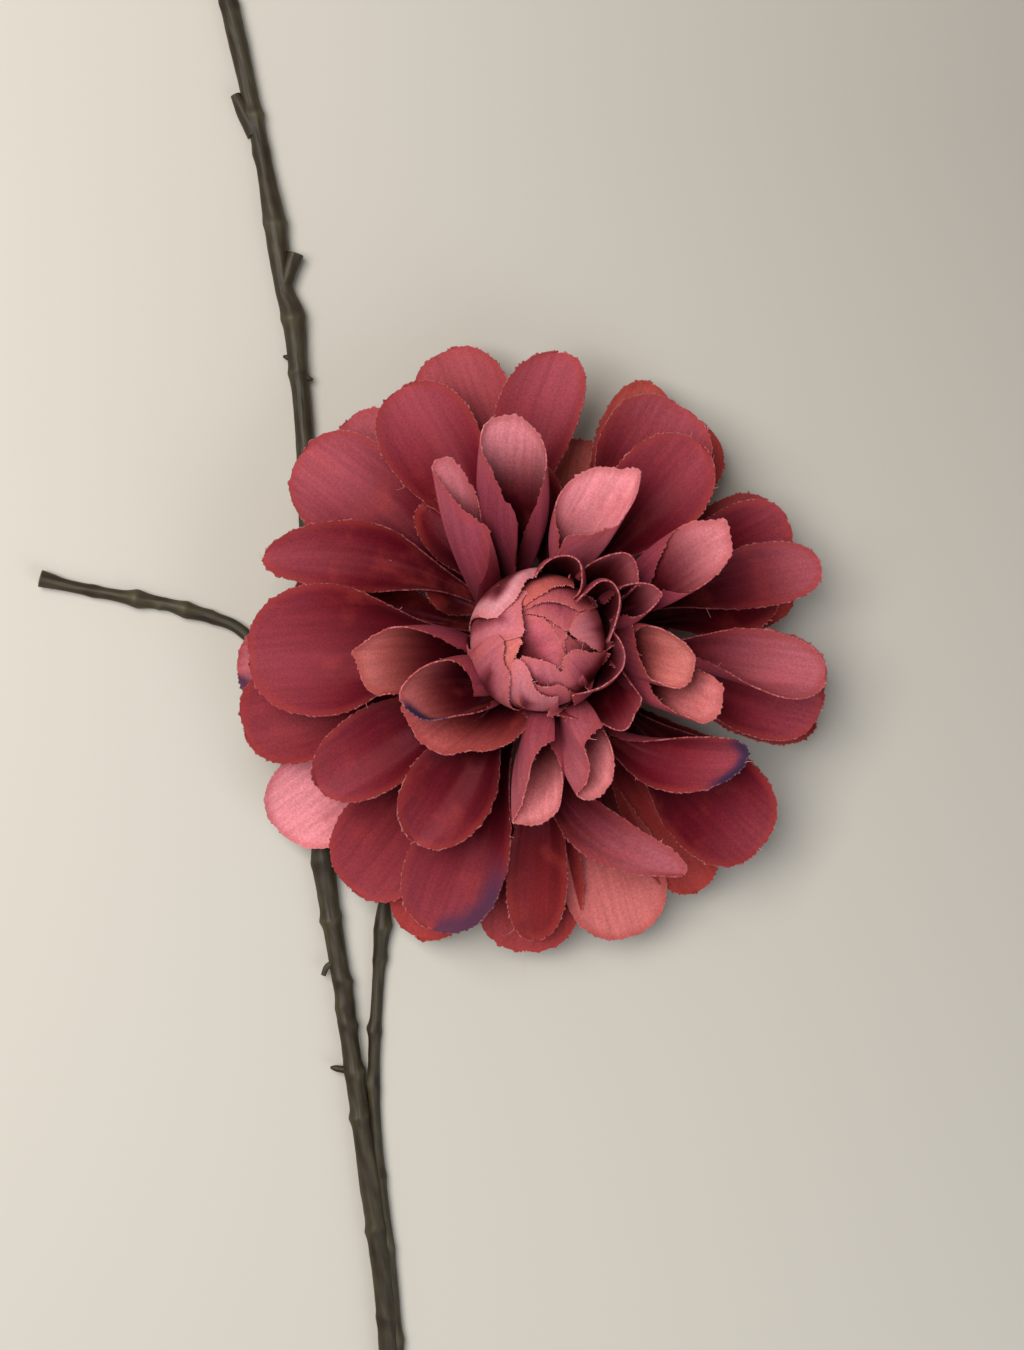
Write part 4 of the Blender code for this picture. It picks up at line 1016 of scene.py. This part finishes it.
# %% Moulded plastic
def moulded_bark(name, cast, brushed, bare):
    material = new_material(name)
    fact = {key: node(material, "ShaderNodeAttribute", attribute_name=key) for key in ("bark", "ridge", "cut")}
    place = fact["bark"].outputs["Vector"]
    grooves_place = node(material, "ShaderNodeMapping", {"Vector": place, "Scale": (1.0, 0.08, 1.0)})
    grooves = node(material, "ShaderNodeTexNoise", {"Vector": grooves_place.outputs[0], "Scale": 1 / (0.8 * MM),
                   "Detail": 4.0})
    patches = node(material, "ShaderNodeTexNoise", {"Vector": place, "Scale": 1 / (7 * MM), "Detail": 3.0})
    raised = node(material, "ShaderNodeMapRange", {"Value": fact["ridge"].outputs["Fac"], "From Min": 0.95,
                  "From Max": 1.07})
    share = node(material, "ShaderNodeMath", {0: raised.outputs[0], 1: patches.outputs["Fac"]},
                 operation="MULTIPLY")
    colour = node(material, "ShaderNodeMix", {0: share.outputs[0], 6: linear(cast), 7: linear(brushed)},
                  data_type="RGBA")
    dark = node(material, "ShaderNodeMapRange", {"Value": grooves.outputs["Fac"], "From Min": 0.3, "From Max": 0.7,
                "To Min": 0.7, "To Max": 1.2})
    tone = node(material, "ShaderNodeCombineColor", {0: dark.outputs[0], 1: dark.outputs[0], 2: dark.outputs[0]})
    colour = node(material, "ShaderNodeMix", {0: 1.0, 6: colour.outputs[2], 7: tone.outputs[0]},
                  data_type="RGBA", blend_type="MULTIPLY")
    colour = node(material, "ShaderNodeMix", {0: fact["cut"].outputs["Fac"], 6: colour.outputs[2],
                  7: linear(bare)}, data_type="RGBA")
    bump = node(material, "ShaderNodeBump", {"Height": grooves.outputs["Fac"], "Strength": 0.7,
                "Distance": 0.3 * MM})
    shader = node(material, "ShaderNodeBsdfPrincipled", {
        "Base Color": colour.outputs[2], "Roughness": 0.5, "IOR": 1.51, "Normal": bump.outputs[0],
        "Specular IOR Level": 0.3})
    node(material, "ShaderNodeOutputMaterial", {"Surface": shader.outputs[0]})
    return material


olive_plastic = moulded_bark("olive_brown_polyethylene", cast="2c2216", brushed="565038", bare="8a8468")
print("plastic nodes:", len(olive_plastic.node_tree.nodes))


# %% Build the twig
def add_limb(name, *swept_parts):
    """One piece from one or more swept limbs."""
    points, faces, facts, start = [], [], {}, 0
    for part_points, part_faces, part_facts in swept_parts:
        points.append(part_points)
        faces += [[corner + start for corner in face] for face in part_faces]
        start += len(part_points)
        for key, values in part_facts.items():
            facts.setdefault(key, []).append(values)
    joined = {key: np.concatenate(values) for key, values in facts.items()}
    piece = finish_mesh(name, np.concatenate(points), faces, olive_plastic, facts=joined)
    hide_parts("stem")
    print(name, len(piece.data.polygons), "faces")
    return piece


# x and y of each knot, and how far it stands proud
long_knots = [(-79, 160, 0.5), (-73, 132, 0.6), (-71, 123, 0.4), (-67.6, 104.8, 0.5), (-62.9, 81, 0.6),
              (-61.5, 68, 0.4), (-58, 30, 0.4), (-57, -25, 0.5), (-55.6, -55.7, 0.8), (-53.6, -69.1, 0.7),
              (-51, -85.1, 0.6),
              (-50, -91.5, 0.5), (-49.5, -96, 0.5), (-47.8, -107.5, 0.7), (-46.2, -118.7, 0.7), (-42, -147, 0.5),
              (-39.5, -170, 0.6), (-38, -190, 0.5), (-36, -215, 0.6), (-35, -232, 0.5)]
flower_knots = [(-40.6, -71.7, 0.7), (-41.4, -80, 0.5), (-42.4, -97.9, 0.8), (-42.5, -112, 0.5), (-41.2, -134, 0.5),
                (-39, -152, 0.5), (-37, -176, 0.5), (-34.5, -205, 0.5), (-32.5, -236, 0.4), (-33, -45, 0.4)]
twig_knots = [(-70, -3, 0.4), (-83.4, 6, 0.4), (-89.7, 7.8, 0.5), (-95.7, 9.5, 0.4), (-102, 10.5, 0.6),
              (-113, 12.6, 0.4)]
add_limb("long_limb", swept(long_limb, 11, sides=30, step=0.6, depth=0.05, knots=long_knots))
add_limb("flower_limb", swept(flower_limb, 12, sides=24, step=0.6, depth=0.05, knots=flower_knots))
add_limb("side_twig", swept(side_twig, 13, sides=24, step=0.5, depth=0.05, bore=(1.2, 4.5), knots=twig_knots))
stub_parts = [swept(upper_stub, 14, sides=20, step=0.4), swept(open_stub, 15, sides=20, step=0.4, bore=(1.2, 4.0)),
              swept(hook, 16, sides=16, step=0.3)]
for number, (x, y, angle) in enumerate(spurs):
    root = np.array((x, y, 2.8))
    reach = polar(angle, 1.0, 0)
    stub_parts.append(swept([(*root, 0.9), (*(root + 2.2 * reach), 0.8), (*(root + 3.6 * reach), 0.3)],
                            17 + number, sides=14, step=0.3))
add_limb("stubs", *stub_parts)

# %% [markdown]
# ## The calyx
#
# Behind the bloom a moulded cup with eight sepals holds the receptacle on the flower limb. It
# hardly shows from the front, but a flower is looked at from behind too, so it gets the twig's
# plastic and sepals with a raised midrib.

# %% Build the calyx
SEPALS = 8


def sepal_surface(number):
    s = length_shares(30)[:, None]
    t = np.linspace(-1, 1, 13)[None, :]
    out = 7.0 + 12.5 * s + 0 * t
    aside = 3.2 * half_width(s, 0.35, 0.7) * (1 - 0.5 * s) * t
    height = 10.6 + 2.4 * ease(s) - 2.6 * s ** 3 + 0.5 * t ** 2 - 0.35 * np.exp(-(t / 0.15) ** 2)
    angle = math.radians(360 * (number + 0.5) / SEPALS)
    return np.stack([out * math.cos(angle) - aside * math.sin(angle),
                     out * math.sin(angle) + aside * math.cos(angle), height], axis=-1), out, aside


calyx_pieces = []
for number in range(SEPALS):
    points, out, aside = sepal_surface(number)
    bark_place = np.stack([aside, out, 0 * out + number], axis=-1) * MM
    facts = {"bark": bark_place, "ridge": 1.0 + 0 * out, "cut": 0 * out}
    calyx_pieces.append(add_sheet(f"sepal_{number + 1}", points, 0.7, olive_plastic, facts))
cup_profile = [(2.7, 10.8), (2.7, 7.0), (4.2, 7.0), (4.9, 8.4), (5.6, 9.5), (7, 10.6), (10.5, 12.6), (11, 13.6),
               (2.5, 13.65), (2.5, 20.0)]
cup_points, cup_faces = turned(cup_profile, 48)
cup_facts = {"bark": cup_points * MM, "ridge": np.ones(len(cup_points)), "cut": np.zeros(len(cup_points))}
calyx_pieces.append(finish_mesh("calyx_cup", cup_points, cup_faces, olive_plastic, 40, cup_facts))
for piece in calyx_pieces:
    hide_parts("calyx")
print("calyx pieces:", len(calyx_pieces))

# %% [markdown]
# ## The wire end
#
# The steel core shows where the twig was cut. Its solid is right as packed, so it only gets a
# drawn steel finish: bright, with fine scratches along the wire.

# %% Drawn steel
steel = new_material("drawn_steel_wire")
scratches_place = node(steel, "ShaderNodeTexCoord").outputs["Object"]
scratches_scaled = node(steel, "ShaderNodeMapping", {"Vector": scratches_place, "Scale": (1.0, 0.05, 1.0)})
scratches = node(steel, "ShaderNodeTexNoise", {"Vector": scratches_scaled.outputs[0], "Scale": 1 / (0.2 * MM)})
dulling = node(steel, "ShaderNodeMapRange", {"Value": scratches.outputs["Fac"], "To Min": 0.28, "To Max": 0.5})
steel_shader = node(steel, "ShaderNodeBsdfPrincipled", {"Base Color": linear("b9b8b4"), "Metallic": 1.0,
                    "Roughness": dulling.outputs[0]})
node(steel, "ShaderNodeOutputMaterial", {"Surface": steel_shader.outputs[0]})
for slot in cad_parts["wire_end"].material_slots:
    slot.material = steel
print("wire end finished")

# %% [markdown]
# ## Loose threads
#
# A few polyester threads have come out of the frayed margins. Each is a thin bent tube that
# starts in a margin. The real ones are about 0.1 mm thick.

# %% Build the threads
def thread(root, outward, draw):
    """Points and faces of one thin bent thread."""
    length = draw.uniform(0.5, 1.5) if draw.random() < 0.85 else draw.uniform(2.0, 4.0)
    sway = unit(draw.standard_normal(3))
    u = np.linspace(0, 1, 7)[:, None]
    centre = root + outward * (length * u - 0.1) + sway * 0.45 * length * u ** 2
    centre[:, 2] = np.maximum(centre[:, 2], 0.1)
    heading = unit(np.gradient(centre, axis=0))
    side = unit(np.cross(heading, (0.3, 0.5, 1.0)))
    other = np.cross(heading, side)
    angles = 2 * np.pi * np.arange(3) / 3
    wide = 0.06 * (1 - 0.5 * u)[..., None]
    rings = centre[:, None] + wide * (np.cos(angles)[None, :, None] * side[:, None]
                                      + np.sin(angles)[None, :, None] * other[:, None])
    index = np.arange(21).reshape(7, 3)
    a, b = index[:-1], index[1:]
    faces = np.stack([a, np.roll(a, -1, axis=1), np.roll(b, -1, axis=1), b], axis=-1).reshape(-1, 4).tolist()
    return rings.reshape(-1, 3), faces + [index[0][::-1].tolist(), index[-1].tolist()]


thread_satin = new_material("polyester_thread")
thread_noise = node(thread_satin, "ShaderNodeTexNoise", {"Scale": 1 / (2 * MM)})
thread_colour = node(thread_satin, "ShaderNodeMix", {0: thread_noise.outputs["Fac"], 6: linear("b8606a"),
                     7: linear("dba3a2")}, data_type="RGBA")
thread_shader = node(thread_satin, "ShaderNodeBsdfPrincipled", {"Base Color": thread_colour.outputs[2],
                     "Roughness": 0.6, "IOR": 1.57})
node(thread_satin, "ShaderNodeOutputMaterial", {"Surface": thread_shader.outputs[0]})

thread_draw = np.random.default_rng(31)
all_points, all_faces = [], []
for root, outward in thread_roots:
    points, faces = thread(root, outward, thread_draw)
    all_faces += [[corner + 21 * len(all_points) for corner in face] for face in faces]
    all_points.append(points)
threads = finish_mesh("loose_threads", np.concatenate(all_points), all_faces, thread_satin)
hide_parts("bloom")
print("threads:", len(all_points))

# %% [markdown]
# ## The floor and the light
#
# The flower lies on a plain pale surface, painted matt. One large soft light stands to the upper
# left, as a window does, a weak cool one to the lower right stands for light thrown back by the
# room, and the world fills the shadows. The floor's colour darkens towards the upper right corner:
# that is painted shade, and it gives the background its gradient.

# %% Floor
floor_mesh = bpy.data.meshes.new("floor")
floor_mesh.from_pydata([(-3, -3, 0), (3, -3, 0), (3, 3, 0), (-3, 3, 0)], [], [(0, 1, 2, 3)])
floor = bpy.data.objects.new("floor", floor_mesh)
bpy.context.scene.collection.objects.link(floor)
paint = new_material("matt_wall_paint")
paint_place = node(paint, "ShaderNodeTexCoord").outputs["Object"]
paint_axes = node(paint, "ShaderNodeSeparateXYZ", {0: paint_place})
# painted shade: the floor darkens towards the upper right corner
painted_shade_right = node(paint, "ShaderNodeMapRange", {"Value": paint_axes.outputs[0], "From Min": -0.14, "From Max": 0.15})
painted_shade_up = node(paint, "ShaderNodeMapRange", {"Value": paint_axes.outputs[1], "From Min": -0.18, "From Max": 0.16,
                "To Min": 0.4})
painted_shade_corner = node(paint, "ShaderNodeMath", {0: painted_shade_right.outputs[0], 1: painted_shade_up.outputs[0]},
                    operation="MULTIPLY")
paint_with_painted_shade = node(paint, "ShaderNodeMix", {0: painted_shade_corner.outputs[0], 6: linear("cfc9be"),
                    7: linear("a7a198")}, data_type="RGBA")
paint_shader = node(paint, "ShaderNodeBsdfPrincipled", {"Base Color": paint_with_painted_shade.outputs[2], "Roughness": 0.9})
node(paint, "ShaderNodeOutputMaterial", {"Surface": paint_shader.outputs[0]})
floor_mesh.materials.append(paint)
print("floor ready")


# %% Lights
def add_area_light(name, place, size, power, colour):
    """A square soft light that aims at the bloom; place and size in millimetres."""
    light = bpy.data.lights.new(name, "AREA")
    light.shape = "SQUARE"
    light.size = size * MM
    light.energy = power
    light.color = colour
    lamp = bpy.data.objects.new(name, light)
    bpy.context.scene.collection.objects.link(lamp)
    lamp.location = (AXIS + place) * MM
    towards_bloom = Vector((0, 0, 30)) - Vector(place)
    lamp.rotation_euler = towards_bloom.to_track_quat("-Z", "Y").to_euler()
    print(name, power, "W")


add_area_light("window", (-320, 150, 850), 620, 9.0, (1.0, 0.985, 0.96))
add_area_light("reflector", (480, -560, 600), 600, 2.8, (0.80, 0.90, 1.0))
world = bpy.data.worlds.new("soft_room")
world.use_nodes = True
bpy.context.scene.world = world
background = world.node_tree.nodes["Background"]
background.inputs["Color"].default_value = (1.0, 0.965, 0.92, 1.0)
background.inputs["Strength"].default_value = 0.21
bpy.context.scene.view_settings.view_transform = "Standard"
print("lights ready")
